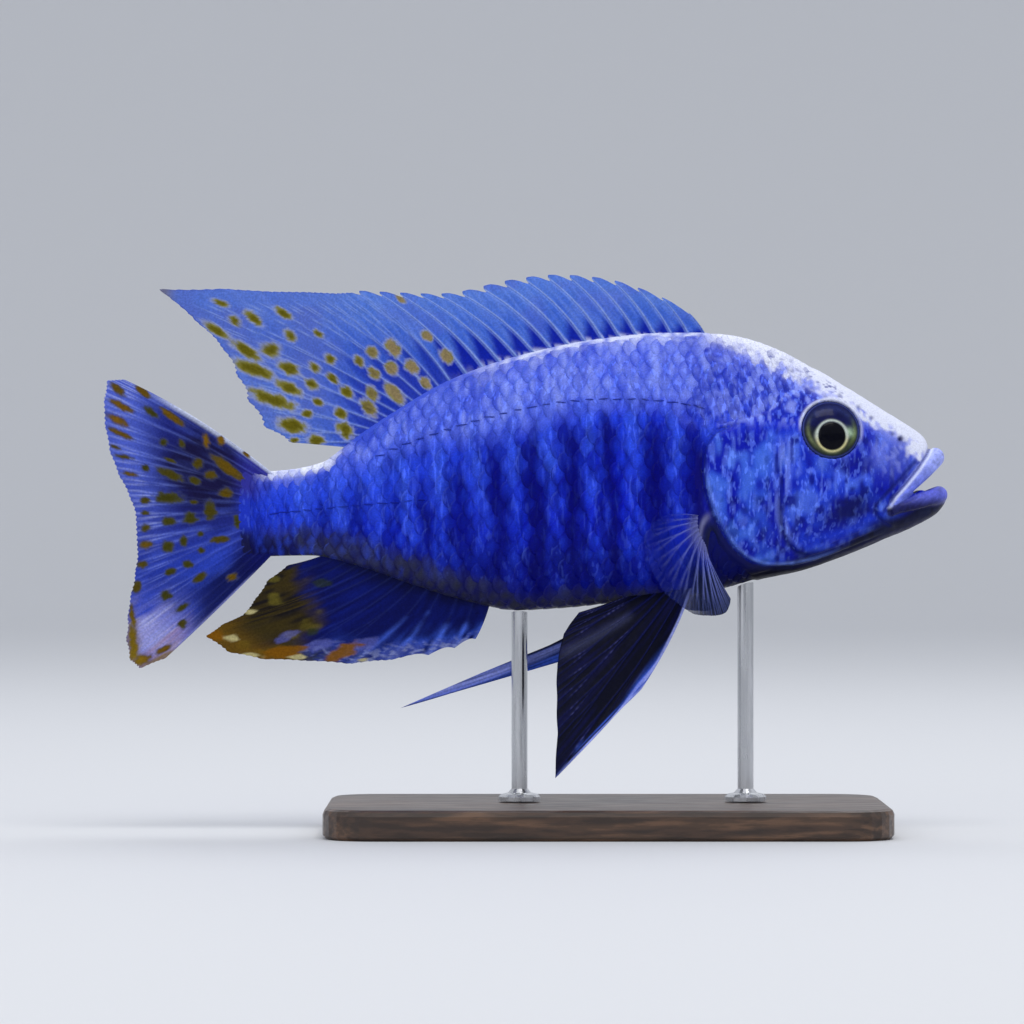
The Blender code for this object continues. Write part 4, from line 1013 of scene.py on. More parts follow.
def skin():
    """One closed skin from the lips to the tail base."""
    points, faces, order = snout_mesh()
    near = smooth(71.5, SNOUT_CUT_X, points[:, 0])
    angles = section_angle(points[:, 0], points[:, 1], points[:, 2])
    y, z = section(points[:, 0], angles)
    points[:, 1] = points[:, 1] * (1 - near) + y * near
    points[:, 2] = points[:, 2] * (1 - near) + z * near

    turns = angles[order]
    steps = (np.diff(turns) + math.pi) % (2 * math.pi) - math.pi
    if steps.sum() < 0:
        order = order[::-1]
        turns = turns[::-1]
        steps = (np.diff(turns) + math.pi) % (2 * math.pi) - math.pi
    turns = turns[0] + np.concatenate([[0.0], np.cumsum(steps)])
    count = len(order)
    even = turns.mean() - (count - 1) * math.pi / count + full_turn(count)
    fine = np.arange(SNOUT_CUT_X - 0.32, FINE_END_X, -FINE_STEP)
    stations = np.concatenate([fine, np.linspace(FINE_END_X, TAIL_END_X, COARSE_RINGS)])
    relax = smooth(0, 14, np.arange(1, len(stations) + 1))[:, None]
    angle = turns[None] * (1 - relax) + even[None] * relax
    along = np.broadcast_to(stations[:, None], angle.shape)
    y, z = section(along, angle)
    y = y * (1 - 0.8 * smooth(-56.4, -57.8, along))
    rings = np.stack([along, y, z], 2)
    ends = []
    for shift, shrink in ((0.2, 0.8), (0.32, 0.5)):
        ring = rings[-1].copy()
        ring[:, 0] -= shift
        ring[:, 1] *= shrink
        ring[:, 2] = (ring[:, 2] - TAIL_END_HEIGHT) * (0.9 + 0.1 * shrink) + TAIL_END_HEIGHT
        ends.append(ring)
    rings = np.concatenate([rings, np.array(ends)])
    rows = np.concatenate([[order], len(points) + numbered(len(rings), count)])
    points = np.concatenate([points, rings.reshape(-1, 3), [[TAIL_END_X - 0.4, 0.0, TAIL_END_HEIGHT]]])
    last = rows[-1]
    fan = np.stack([last, np.roll(last, -1), np.full(count, len(points) - 1)], 1)
    mesh = make_mesh("skin", points, faces + [tube_faces(rows), fan], 1.0, 0.0)
    face_out(mesh)
    normals = vertex_normals(mesh)
    x, y, z = points.T
    bare = np.abs(np.abs(y) - flank_y(x, z)) < 1.2
    upright = smooth(72, 69, x)
    height = relief(x, y, z) * np.maximum(bare, upright)
    points = points + normals * height[:, None]

    # The skin dips behind each eye and rises to a rim round it
    for side in (1, -1):
        out = eye_frame(side)[2]
        _, w, _, reach = round_eye(points, side)
        close = (points[:, 1] * side > 1.0) & (reach < 9.5)
        level = EYE_DEPTH - EYE_PROUD
        rim = level + 0.1 + 0.3 * bell(reach - RIM_RADIUS, 0.42)
        share = smooth(8.8, 6.4, reach)
        placed = w * (1 - share) + rim * share
        bowl = level - 3.6 * np.sqrt(clamp(1 - (reach / SOCKET_RADIUS) ** 2)) ** 0.8
        lowest = np.where(reach < SOCKET_RADIUS, bowl, level + 0.06)
        placed = np.where(reach < 6.0, np.minimum(placed, lowest), placed)
        points = np.where(close[:, None], points + out * (placed - w)[:, None], points)

    x, y, z = points.T
    colour = body_colour(x, y, z)
    x, z = drawn(x, y, z)
    up_lip, low_lip = (on_lip(points, x > 69.0, spec) for spec in (UPPER_LIP, LOWER_LIP))
    upper_tone = tones((156, 168, 246), (76, 94, 222), smooth(-2, 5, 7.4 - z) * 0.6)
    colour.blend(upper_tone, up_lip * 0.95)
    colour.blend(tones((98, 106, 212), (30, 30, 78), smooth(1.6, -1.2, z)), low_lip * 0.95)
    lips = np.maximum(up_lip, low_lip)
    crease = 1 + 0.22 * noise(x, y, z, (0.5, 0.7, 0.5), 25) + 0.16 * noise(x, y, z, (1.6, 2, 1.2), 26)
    crease += 0.24 * noise((x - z) * 0.7, y, (x + z) * 0.7, (0.34, 1.4, 2.4), 53)
    colour.shade(1 + (crease - 1) * lips)
    seam = off_line(x, z, LIP_FOLD)
    colour.over(214, 222, 252, bell(seam - 0.5, 0.32) * smooth(71, 74, x) * 0.95)
    # Painted shade in the lip fold, the jaw fold and the groove along the preopercle
    colour.over(30, 30, 96, groove(x, z, LIP_FOLD, 0.26, 0.8) * 0.7)
    colour.over(20, 30, 110, groove(x, z, JAW_FOLD, 0.5, 1.5) * 0.75)
    colour.over(12, 22, 96, groove(x, z, PREOPERCLE, 0.6, 3) * (0.2 + 0.6 * smooth(6, -4, z)))
    edge, along, total = line_distance(x, z, GILL_EDGE)
    ends = smooth(0, 5, along) * smooth(0, 16, total - along)
    pale = 0.75 + 0.4 * noise(x, y, z, (0.8, 1, 1.6), 22)
    line = bell(edge - 0.4, 0.32) * smooth(9, 4, z) * smooth(0, 16, total - along)
    colour.over(120, 152, 246, line * pale * 0.75)
    # Painted shadow under the free edge of the gill cover
    colour.over(5, 8, 60, bell(edge + 0.45, 0.4) * smooth(1.5, 8.5, along) * ends * 0.85)
    # Painted shade in the pit before each pectoral fin's root; a pale ring round the root
    around = np.hypot((x - 37.0) / 2.3, (z + 7.4) / 4.4)
    colour.over(22, 27, 46, bell(around, 0.62) * 0.95)
    root = bell(around - 1, 0.17) * smooth(37.4, 35.6, x)
    colour.over(124, 126, 164, root * 0.8)
    # Painted shade in the nostril's pit
    nostril = np.hypot(x - NOSTRIL[0], z - NOSTRIL[1])
    colour.over(24, 20, 60, bell(nostril, 0.62) * 0.9)
    for side in (1, -1):
        u, _, v, reach = round_eye(points, side)
        here = y * side > 1.0
        ring = bell(reach - RIM_RADIUS, 0.3) * here
        top = smooth(0.5, 4, v - 0.25 * u) + 0.5 * smooth(3.5, 5.5, u) * smooth(-4, 0, v)
        colour.over(72, 88, 206, ring * 0.5)
        colour.over(232, 236, 252, clamp(ring * top) * 0.9)
        # Painted shade in the gap between the eyeball and its socket
        colour.over(16, 24, 90, smooth(5.95, 5.8, reach) * here)
    # Painted shade inside the open mouth
    inner = (x > 71.0) & (np.abs(y) < flank_y(x, z) - 1.0) & (z > -3.0) & (z < 8.0)
    colour.over(34, 22, 46, inner * (1 - lips))

    coords = points.copy()
    coords[:, 2] += AXIS_HEIGHT
    mesh.vertices.foreach_set("co", (coords * MM).astype(np.float32).ravel())
    mesh.update()
    set_colour(mesh, colour.mixed)
    set_value(mesh, "fleck", fleck_share(x, y, z) * (1 - lips))
    material, tree, shader = painted(
        "skin_blue", (0.32, 0.91, 1.09), (1.5, 0.36, 0.5), ((0.22, 0.025), (0.9, 0.06)),
        Specular_IOR_Level=0.08, Coat_Weight=0.05, Coat_Roughness=0.16,
    )
    flecked(tree, shader, 0.8, (1.0, 1.0, 0.45), (0.07, 0.12, 0.34))
    flesh = ("head", "torso", "tail_stalk", "upper_jaw", "lower_jaw", "gill_cover_left", "gill_cover_right")
    add_piece("skin", mesh, material, flesh)


# Scales


def girth_table():
    """The coated surface, by distance along and by distance up the flank from the middle row of scales."""
    xs = np.arange(-57.0, 70.01, GIRTH_STEP)
    turns = np.linspace(-math.pi / 2 - 0.8, math.pi / 2 + 0.8, 500)
    reaches = np.arange(-50.0, 50.01, REACH_STEP)
    table = np.empty((len(xs), len(reaches), 2))
    low_end, high_end = np.empty(len(xs)), np.empty(len(xs))
    for i, x in enumerate(xs):
        y, z = section(np.full(len(turns), x), turns, -COAT_DEPTH)
        run = np.concatenate([[0.0], np.cumsum(np.hypot(np.diff(y), np.diff(z)))])
        side = np.abs(turns) <= math.pi / 2
        run -= np.interp(middle_row(x), z[side], run[side])
        table[i, :, 0] = np.interp(reaches, run, y)
        table[i, :, 1] = np.interp(reaches, run, z)
        low_end[i], high_end[i] = run[side][0], run[side][-1]
    return xs, reaches, table, low_end, high_end


middle_row = curve(MIDDLE_ROW)
row_pitch = curve(ROW_PITCH)
scale_pitch = curve(SCALE_PITCH)


class Coat:
    """The surface that scales lie on."""

    def __init__(self):
        self.xs, self.reaches, self.table, self.low_end, self.high_end = girth_table()

    def place(self, x, row, side):
        """A point of the surface at x on a row, where rows may be fractions."""
        reach = row * row_pitch(x)
        i = np.clip((x - self.xs[0]) / GIRTH_STEP, 0, len(self.xs) - 1.001)
        j = np.clip((reach - self.reaches[0]) / REACH_STEP, 0, len(self.reaches) - 1.001)
        i0, j0 = i.astype(int), j.astype(int)
        fi, fj = (i - i0)[..., None], (j - j0)[..., None]
        t = self.table
        low = t[i0, j0] * (1 - fj) + t[i0, j0 + 1] * fj
        high = t[i0 + 1, j0] * (1 - fj) + t[i0 + 1, j0 + 1] * fj
        yz = low * (1 - fi) + high * fi
        return np.stack([x, yz[..., 0] * side, yz[..., 1]], -1)

    def normal(self, x, row, side):
        ahead = self.place(x + 0.5, row, side) - self.place(x - 0.5, row, side)
        up = self.place(x, row + 0.2, side) - self.place(x, row - 0.2, side)
        return unit(np.cross(ahead, up)) * -side

    def ends(self, x):
        return np.interp(x, self.xs, self.low_end), np.interp(x, self.xs, self.high_end)


def scale_centres(coat):
    """Where each scale stands: distance along and row number."""
    stations = [59.0]
    while stations[-1] > -56.5:
        stations.append(stations[-1] - float(scale_pitch(stations[-1])))
    stations = np.array(stations)
    xs, rows = [], []
    for row in range(-28, 30):
        places = stations if row % 2 == 0 else (stations[1:] + stations[:-1]) / 2
        low, high = coat.ends(places)
        reach = row * row_pitch(places)
        point = coat.place(places, np.full(len(places), float(row)), 1)
        fits = (reach > low + 0.5) & (reach < high - 0.3) & (places > -56.0)
        height = point[:, 2]
        fits &= (places < scaled_front(height) + 0.7) & (places > -54.9 + 0.012 * (height + 2.6) ** 2)
        xs.append(places[fits])
        rows.append(np.full(int(fits.sum()), float(row)))
    return np.concatenate(xs), np.concatenate(rows)


def scale_grid():
    """A disc as a square grid of points, with its rim in order."""
    line = np.linspace(-1, 1, SCALE_STEPS)
    u, v = np.meshgrid(line, line, indexing="ij")
    across, along = v * np.sqrt(1 - u * u / 2), u * np.sqrt(1 - v * v / 2)
    index = numbered(SCALE_STEPS, SCALE_STEPS)
    return along.ravel(), across.ravel(), sheet_faces(index), sheet_rim(index)


def repeated(faces, count, each):
    """The faces of count pieces of one shape, with each piece's number of points."""
    start = (np.arange(count) * each)[:, None, None]
    return [(part[None] + start).reshape(-1, part.shape[1]) for part in faces]


def scale_mesh(name, coat, xs, rows, side):
    """Overlapping scales as closed shells: front edges under the scales ahead, rear edges standing free."""
    along, across, quads, rim = scale_grid()
    count = len(xs)
    length = 0.95 * scale_pitch(xs)[:, None] * (1 + 0.05 * random_at(xs, rows, side)[:, None])
    x = xs[:, None] - along * length * (1.0 + 0.03 * across**2)
    row = rows[:, None] + across * 1.03 * (1 - 0.10 * np.maximum(-along, 0))
    size = (np.minimum(row_pitch(xs) / FULL_ROW_PITCH, 1.0) * smooth(-57.5, -46, xs))[:, None]
    rise = (along + 1) / 2
    lift = -0.11 + 0.19 * rise**1.15 + 0.05 * (1 - across**2) * rise
    lift = lift - 0.05 * smooth(0.8, 1, np.hypot(along, across))
    tilt = 0.03 * (random_at(xs, rows, 7) - 0.5)[:, None] * across
    base = coat.place(x, row, side)
    out = coat.normal(x, row, side)
    top = base + out * ((lift * (0.2 + 0.8 * size) + tilt * size)[..., None])
    bottom = top[:, rim] - out[:, rim] * SCALE_THICKNESS
    under = (base + out * lift[None, :, None])[:, SCALE_MIDDLE] - out[:, SCALE_MIDDLE] * SCALE_THICKNESS
    points = np.concatenate([top, bottom, under[:, None]], 1)
    last = points.shape[1] - 1
    low = len(along) + np.arange(len(rim))
    ring = np.stack([rim, np.roll(rim, -1), np.roll(low, -1), low], 1)
    fan = np.stack([low, np.roll(low, -1), np.full(len(rim), last)], 1)
    faces = [part if side > 0 else part[:, ::-1] for part in (quads, ring, fan)]
    mesh = make_mesh(name, points.reshape(-1, 3), repeated(faces, count, last + 1))
    a, b = (np.tile(np.concatenate([line, line[rim], [0.0]]), (count, 1)) for line in (along, across))
    return mesh, points, a, b


def coat_map(mesh, xs, rows, side, a, b):
    """A map where each scale is a small patch at its root's place on the unrolled flank."""
    u = (xs + MAP_WIDTH / 2) / MAP_WIDTH
    v = 0.25 + rows * row_pitch(xs) / MAP_HEIGHT + (0.5 if side > 0 else 0.0)
    u = u[:, None] - a * MAP_PATCH
    v = v[:, None] + b * MAP_PATCH
    places = np.stack([u.ravel(), v.ravel()], 1)
    corners = np.empty(len(mesh.loops), np.int32)
    mesh.loops.foreach_get("vertex_index", corners)
    layer = mesh.uv_layers.new(name="OFBake")
    layer.data.foreach_set("uv", places[corners].astype(np.float32).ravel())


def scale_paint(points, xs, rows, a, b, side):
    """Each scale takes the body's colour at its place, with a painted highlight, an upright lens, on its open
    part and painted shade round it.
    """
    px, py, pz = points[:, SCALE_MIDDLE].T
    own = body_colour(px - 0.45 * scale_pitch(xs), py, pz)
    x, y, z = np.moveaxis(points, -1, 0)
    colour = body_colour(x, y, z)
    colour.blend(own.mixed[:, None], 0.5)
    value = random_at(xs, rows, side + 3)[:, None]
    above = above_share(x, z)
    shape = np.abs(a - 0.48) / 0.5 + np.abs(b + 0.1) / 0.95 + 0.25 * noise(x, y, z, (0.5, 1, 1.4), 33)
    lens = smooth(1.05, 0.35, shape) * (0.3 + 0.7 * smooth(-0.8, 0.4, b))
    ridge = smooth(2.4, 1, back(x) - z) * smooth(-34, -40, x)
    plain = (1 - blaze_share(x, y, z, back(x) - z)) * (1 - ridge)
    colour.shade((0.9 + 0.2 * value) * plain + (1 - plain))
    nape = smooth(30, 44, x)
    lit = above * plain * (1 - 0.6 * nape)
    strand = strands(x, y, z)
    fibre = smooth(34, 24, x) * plain * smooth(-57, -50, x)
    # Above the lateral line: painted shade round each lens and a painted highlight on the lens
    colour.over(50, 72, 204, (1 - lens) * lit * 0.26)
    colour.over(130, 147, 236, lens * lit * (0.1 + 0.45 * value))
    colour.over(142, 158, 240, above * fibre * smooth(0, 0.8, strand) * 0.55)
    colour.over(46, 64, 194, above * plain * smooth(0, -0.8, strand) * 0.55)
    bars = bar_share(x, z)
    # Below the lateral line: painted shade round each lens, deeper in the bars
    colour.over(1, 4, 118, (1 - lens) * (1 - above) * (0.2 + 0.25 * bars))
    colour.over(0, 3, 98, (1 - above) * fibre * smooth(0.1, -0.8, strand) * 0.6)
    bright = smooth(0.1, 0.9, strand) * (1 - above) * fibre * (1 - 0.9 * bars) * smooth(-22, -8, z)
    colour.over(44, 78, 238, bright * 0.5)
    # Painted highlight on the lens below the lateral line
    light = lens * (1 - above) * (0.05 + 0.6 * value**2) * smooth(-19, -6, z)
    light = light * (1 - smooth(34, 36.5, x) * smooth(2, -3, z)) * smooth(-56, -49, x)
    colour.over(40, 78, 232, light * (1 - 0.95 * bars))
    # Painted highlight along the rear rim of some scales
    rim = smooth(0.8, 0.95, np.hypot(a, b)) * smooth(0, 0.4, a)
    chance = random_at(xs, rows, side + 9)[:, None]
    gleam = rim * smooth(0.5, 0.95, chance) * between(b, -0.5, 0.3, 0.6, 1)
    gleam = gleam * plain * (1 - bars) * smooth(-56, -50, x)
    colour.over(100, 132, 246, gleam * (0.25 + 0.25 * above) * smooth(-19, -8, z))
    return colour.mixed.reshape(-1, 3)


def pore_line(coat, side, heights, low, high):
    """The lateral line: a row of short dark tubes, one to a scale."""
    xs = []
    x = high
    while x > low:
        xs.append(x)
        x -= float(scale_pitch(x)) * 0.98
    xs = np.array(xs)
    rows = np.array([np.interp(heights(x), *row_heights(coat, x)) for x in xs])
    s = np.linspace(-1, 1, TUBE_STEPS)
    turn = np.linspace(0, 2 * math.pi, TUBE_SIDES, endpoint=False)
    radius = 0.12 * np.sqrt(np.clip(1 - s**2, 0.02, 1.0)) + 0.02
    x = xs[:, None] - 0.35 - s * (0.7 + 0.5 * random_at(xs, 6)[:, None])
    drift = rows[:, None] + 0.1 * s * (random_at(xs, 5) - 0.3)[:, None]
    drift = drift + 0.06 * (random_at(xs, 8) - 0.5)[:, None]
    base = coat.place(x, drift, side)
    out = coat.normal(x, drift, side)
    up = unit(coat.place(x, drift + 0.1, side) - coat.place(x, drift - 0.1, side))
    lift = 0.15 * (row_pitch(xs)[:, None] / FULL_ROW_PITCH)
    centre = base + out * (lift - 0.03 * s)[..., None]
    ring = out[:, :, None] * np.cos(turn)[:, None] * 0.75 + up[:, :, None] * np.sin(turn)[:, None]
    points = centre[:, :, None] + ring * radius[:, None, None]
    index = numbered(TUBE_STEPS, TUBE_SIDES)
    faces = repeated([tube_faces(index), np.array([index[0][::-1], index[-1]])], len(xs), index.size)
    return points.reshape(-1, 3), faces, xs, rows


def row_heights(coat, x):
    """Heights of the rows at x, for finding the row that a height falls on."""
    rows = np.arange(-20.0, 20.01, 0.25)
    z = coat.place(np.full(len(rows), x), rows, 1)[:, 2]
    order = np.argsort(z)
    return z[order], rows[order]


def scales():
    """The coat: four joined meshes of scales, and the lateral lines."""
    coat = Coat()
    material, tree, shader = painted(
        "scale_blue", (0.35, 0.86, 1.14), (1.2, 0.32, 0.48), ((0.3, 0.02),),
        Specular_IOR_Level=0.045, Coat_Weight=0.04, Coat_Roughness=0.18,
    )
    flecked(tree, shader, 0.75, (1.0, 1.0, 0.2), (0.05, 0.09, 0.36))
    all_xs, all_rows = scale_centres(coat)
    for side, word in SIDES:
        for part, chosen in (("front", all_xs >= COAT_SPLIT_X), ("rear", all_xs < COAT_SPLIT_X)):
            xs, rows = all_xs[chosen], all_rows[chosen]
            mesh, points, a, b = scale_mesh("scales_" + part + "_" + word, coat, xs, rows, side)
            set_colour(mesh, scale_paint(points, xs, rows, a, b, side))
            set_value(mesh, "fleck", fleck_share(*points.reshape(-1, 3).T))
            coat_map(mesh, xs, rows, side, a, b)
            add_piece(mesh.name, mesh, material, ())
        upper = pore_line(coat, side, lateral_height, -31.0, 34.5)
        lower = pore_line(coat, side, curve(sorted(TAIL_LINE)), -51.0, -20.5)
        points = np.concatenate([upper[0], lower[0]])
        faces = upper[1] + [f + len(upper[0]) for f in lower[1]]
        mesh = make_mesh("lateral_line_" + word, points, faces)
        set_value(mesh, "fleck", np.zeros(len(points)))
        colour = body_colour(*points.T)
        colour.shade(0.6)
        colour.over(14, 22, 118, 0.35)
        set_colour(mesh, colour.mixed)
        xs, rows = (np.concatenate(pair) for pair in zip(upper[2:], lower[2:]))
        s = np.tile(np.repeat(np.linspace(-1, 1, TUBE_STEPS), TUBE_SIDES), (len(xs), 1))
        turn = np.tile(np.linspace(-1, 1, TUBE_SIDES), (len(xs), TUBE_STEPS))
        coat_map(mesh, xs, rows, side, s, turn)
        add_piece(mesh.name, mesh, material, ())


# Fins


def bent(root, via, tip, share):
    return root * (1 - share) ** 2 + via * (2 * share * (1 - share)) + tip * share**2


def spread(points, count):
    """count points evenly spaced by index along a polyline of given points."""
    points = np.array(points, float)
    t = np.arange(count) * (len(points) - 1) / (count - 1)
    k = np.minimum(t.astype(int), len(points) - 2)
    return points[k] + (points[k + 1] - points[k]) * (t - k)[:, None]


def fin(roots, vias, tips, per_gap, rows, margin, look, wave=None, flat=True):
    """A fin's grid: points, how far across and out each one lies, its ridge, and its outward direction.

    margin gives how far the edge stands out at each place between two rays. look has the half thickness of
    membrane, margin and root, the ridge's height and half width, and how far the rays fork.
    """
    count = len(roots)
    t = np.linspace(0, count - 1, (count - 1) * per_gap + 1)
    i = np.minimum(t.astype(int), count - 2)
    f = t - i
    root, via, tip = (a[i] * (1 - f)[:, None] + a[i + 1] * f[:, None] for a in (roots, vias, tips))
    s = 1 - (1 - np.linspace(0, 1, rows)) ** 1.15
    grid = bent(root[:, None], via[:, None], tip[:, None], s[None, :, None])
    outward = unit(grid[:, -1] - grid[:, -3])
    push = margin(t, f)[:, None] * clamp((s - 0.62) / 0.38)[None] ** 1.6
    grid = grid + outward[:, None] * push[..., None]
    near = bent(roots[i][:, None], vias[i][:, None], tips[i][:, None], s[None, :, None])
    far = bent(roots[i + 1][:, None], vias[i + 1][:, None], tips[i + 1][:, None], s[None, :, None])
    gap = np.linalg.norm(far - near, axis=2)
    fork = look["fork"]
    first = 0.22 * fork * smooth(0.28, 0.8, s)[None]
    second = 0.11 * fork * smooth(0.6, 0.95, s)[None]
    ff = f[:, None]
    away = np.full(grid.shape[:2], 9.0)
    for a, b in ((1, 1), (1, -1)):
        line = a * first + b * second
        away = np.minimum(away, np.abs(ff - line))
        away = np.minimum(away, np.abs(ff - (1 - line)))
    width = look["width"] * (1 - 0.45 * s)[None]
    ridge = bell(away * gap, width)
    if wave:
        grid[..., 1] += wave(grid[..., 0], grid[..., 2], s[None])
    normal = unit(np.cross(np.gradient(grid, axis=0), np.gradient(grid, axis=1)))
    if flat:
        normal = np.zeros_like(grid) + np.array([0.0, 1.0, 0.0])
    base = look["web"] + (look["root"] - look["web"]) * clamp(1 - s / 0.3) ** 1.6
    base = np.where(s > 0.85, look["web"] + (look["edge"] - look["web"]) * (s - 0.85) / 0.15, base)
    half = base[None] + look["ridge"] * ridge * (1 - 0.7 * s)[None]
    return {
        "grid": grid, "normal": normal, "half": half, "ridge": ridge, "s": np.broadcast_to(s, half.shape),
        "t": np.broadcast_to(t[:, None], half.shape), "f": np.broadcast_to(ff, half.shape), "gap": gap,
    }


def along_fin(made):
    """Distance along and height of a fin's points, how far out each lies, from 0 to 1, and its ray."""
    return made["grid"][..., 0], made["grid"][..., 2], made["s"], made["t"]


def fin_piece(name, made, paint, material, nodes, alpha=None):
    """The closed mesh of a fin: the sheet's two faces and its rim."""
    grid, normal, half = made["grid"], made["normal"], made["half"][..., None]
    points = np.concatenate([(grid + normal * half).reshape(-1, 3), (grid - normal * half).reshape(-1, 3)])
    index = numbered(*grid.shape[:2])
    quads, rim = sheet_faces(index), sheet_rim(index.T)
    ring = np.stack([np.roll(rim, -1), rim, rim + index.size, np.roll(rim, -1) + index.size], 1)
    mesh = make_mesh(name, points, [quads, quads[:, ::-1] + index.size, ring])
    face_out(mesh)
    mesh.shade_smooth()
    set_colour(mesh, np.tile(paint(made).reshape(-1, 3), (2, 1)))
    set_value(mesh, "ridge", np.tile(made["ridge"].ravel(), 2))
    set_value(mesh, "reach", np.tile((made["s"] * made["gap"].max() * 8).ravel(), 2))
    if alpha is not None:
        set_value(mesh, "cover", np.tile(alpha(made).ravel(), 2))
    add_piece(name, mesh, material, nodes)


def fin_material(name, see_through=False, **uniform):
    """Membrane with fine lengthwise grain, and rays crossed by their joints."""
    material, tree, shader = painted(
        name, (0.4, 0.86, 1.14), (1.0, 0.38, 0.56), ((0.25, 0.03),),
        Specular_IOR_Level=0.045, Coat_Weight=0.015, Coat_Roughness=0.2, **uniform,
    )
    reach = attribute(tree, "reach", "Fac")
    ridge = attribute(tree, "ridge", "Fac")
    turns = sums(tree, "SINE", sums(tree, "MULTIPLY", reach, 9.0), 0.0)
    joints = sums(tree, "MULTIPLY", ramp(tree, turns, 0.55, 0.98), ridge)
    old = shader.inputs["Normal"].links[0].from_socket
    tree.links.new(bump(tree, joints, 0.05 * MM, 0.6, old), shader.inputs["Normal"])
    if see_through:
        tree.links.new(attribute(tree, "cover", "Fac"), shader.inputs["Alpha"])
    return material


# Half thicknesses of a fin and widths of its rays in millimetres, and how far its rays fork
LOOK = {"web": 0.15, "edge": 0.07, "ridge": 0.16, "width": 0.24, "fork": 1.0, "root": 0.7}


def spots_share(x, z, spots):
    """How far inside a spot each place is, 1 in its middle and 0 on its edge, and which spot that is."""
    best = np.full(np.shape(x), -1.5)
    which = np.zeros(np.shape(x), int)
    for i, (px, pz, long, wide, turn, *_) in enumerate(spots):
        c, s = math.cos(math.radians(turn)), math.sin(math.radians(turn))
        u, v = (x - px) * c + (z - pz) * s, -(x - px) * s + (z - pz) * c
        inside = 1 - np.sqrt((u / long) ** 2 + (v / wide) ** 2)
        nearer = inside > best
        best = np.where(nearer, inside, best)
        which = np.where(nearer, i, which)
    return best, which


def spotted(colour, share, x, z, inner, outer, halo, glow=0.4):
    """Olive spots with a paler rim round each."""
    ragged = share + 0.3 * noise(x, 0, z, 0.7, 31) + 0.15 * noise(x, 0, z, 0.3, 32)
    colour.blend(halo, smooth(-0.55, -0.12, ragged) * glow)
    colour.blend(outer, smooth(-0.24, 0.16, ragged) * 0.94)
    colour.blend(inner, smooth(0.1, 0.55, ragged) * 0.9)


def on_back(x, depth=1.3):
    return np.stack([x, 0 * x, back(x) - depth], -1)


def on_belly(x, depth=1.3):
    return np.stack([x, 0 * x, belly(x) + depth], -1)


def part_way(ends, share):
    return ends[0] + (ends[1] - ends[0]) * share


def fin_tips(table):
    """The tips of a fin in the middle plane, and each one's share of the way from first to last."""
    return np.array([(x, 0.0, z) for x, z in table]), np.arange(len(table)) / (len(table) - 1)


def vias(roots, tips, along, up):
    """Where each ray bends, as shares of the way from root to tip along and up."""
    none = 0 * roots[:, 0]
    return roots + (tips - roots) * np.stack([along + none, 0.5 + none, up + none], 1)


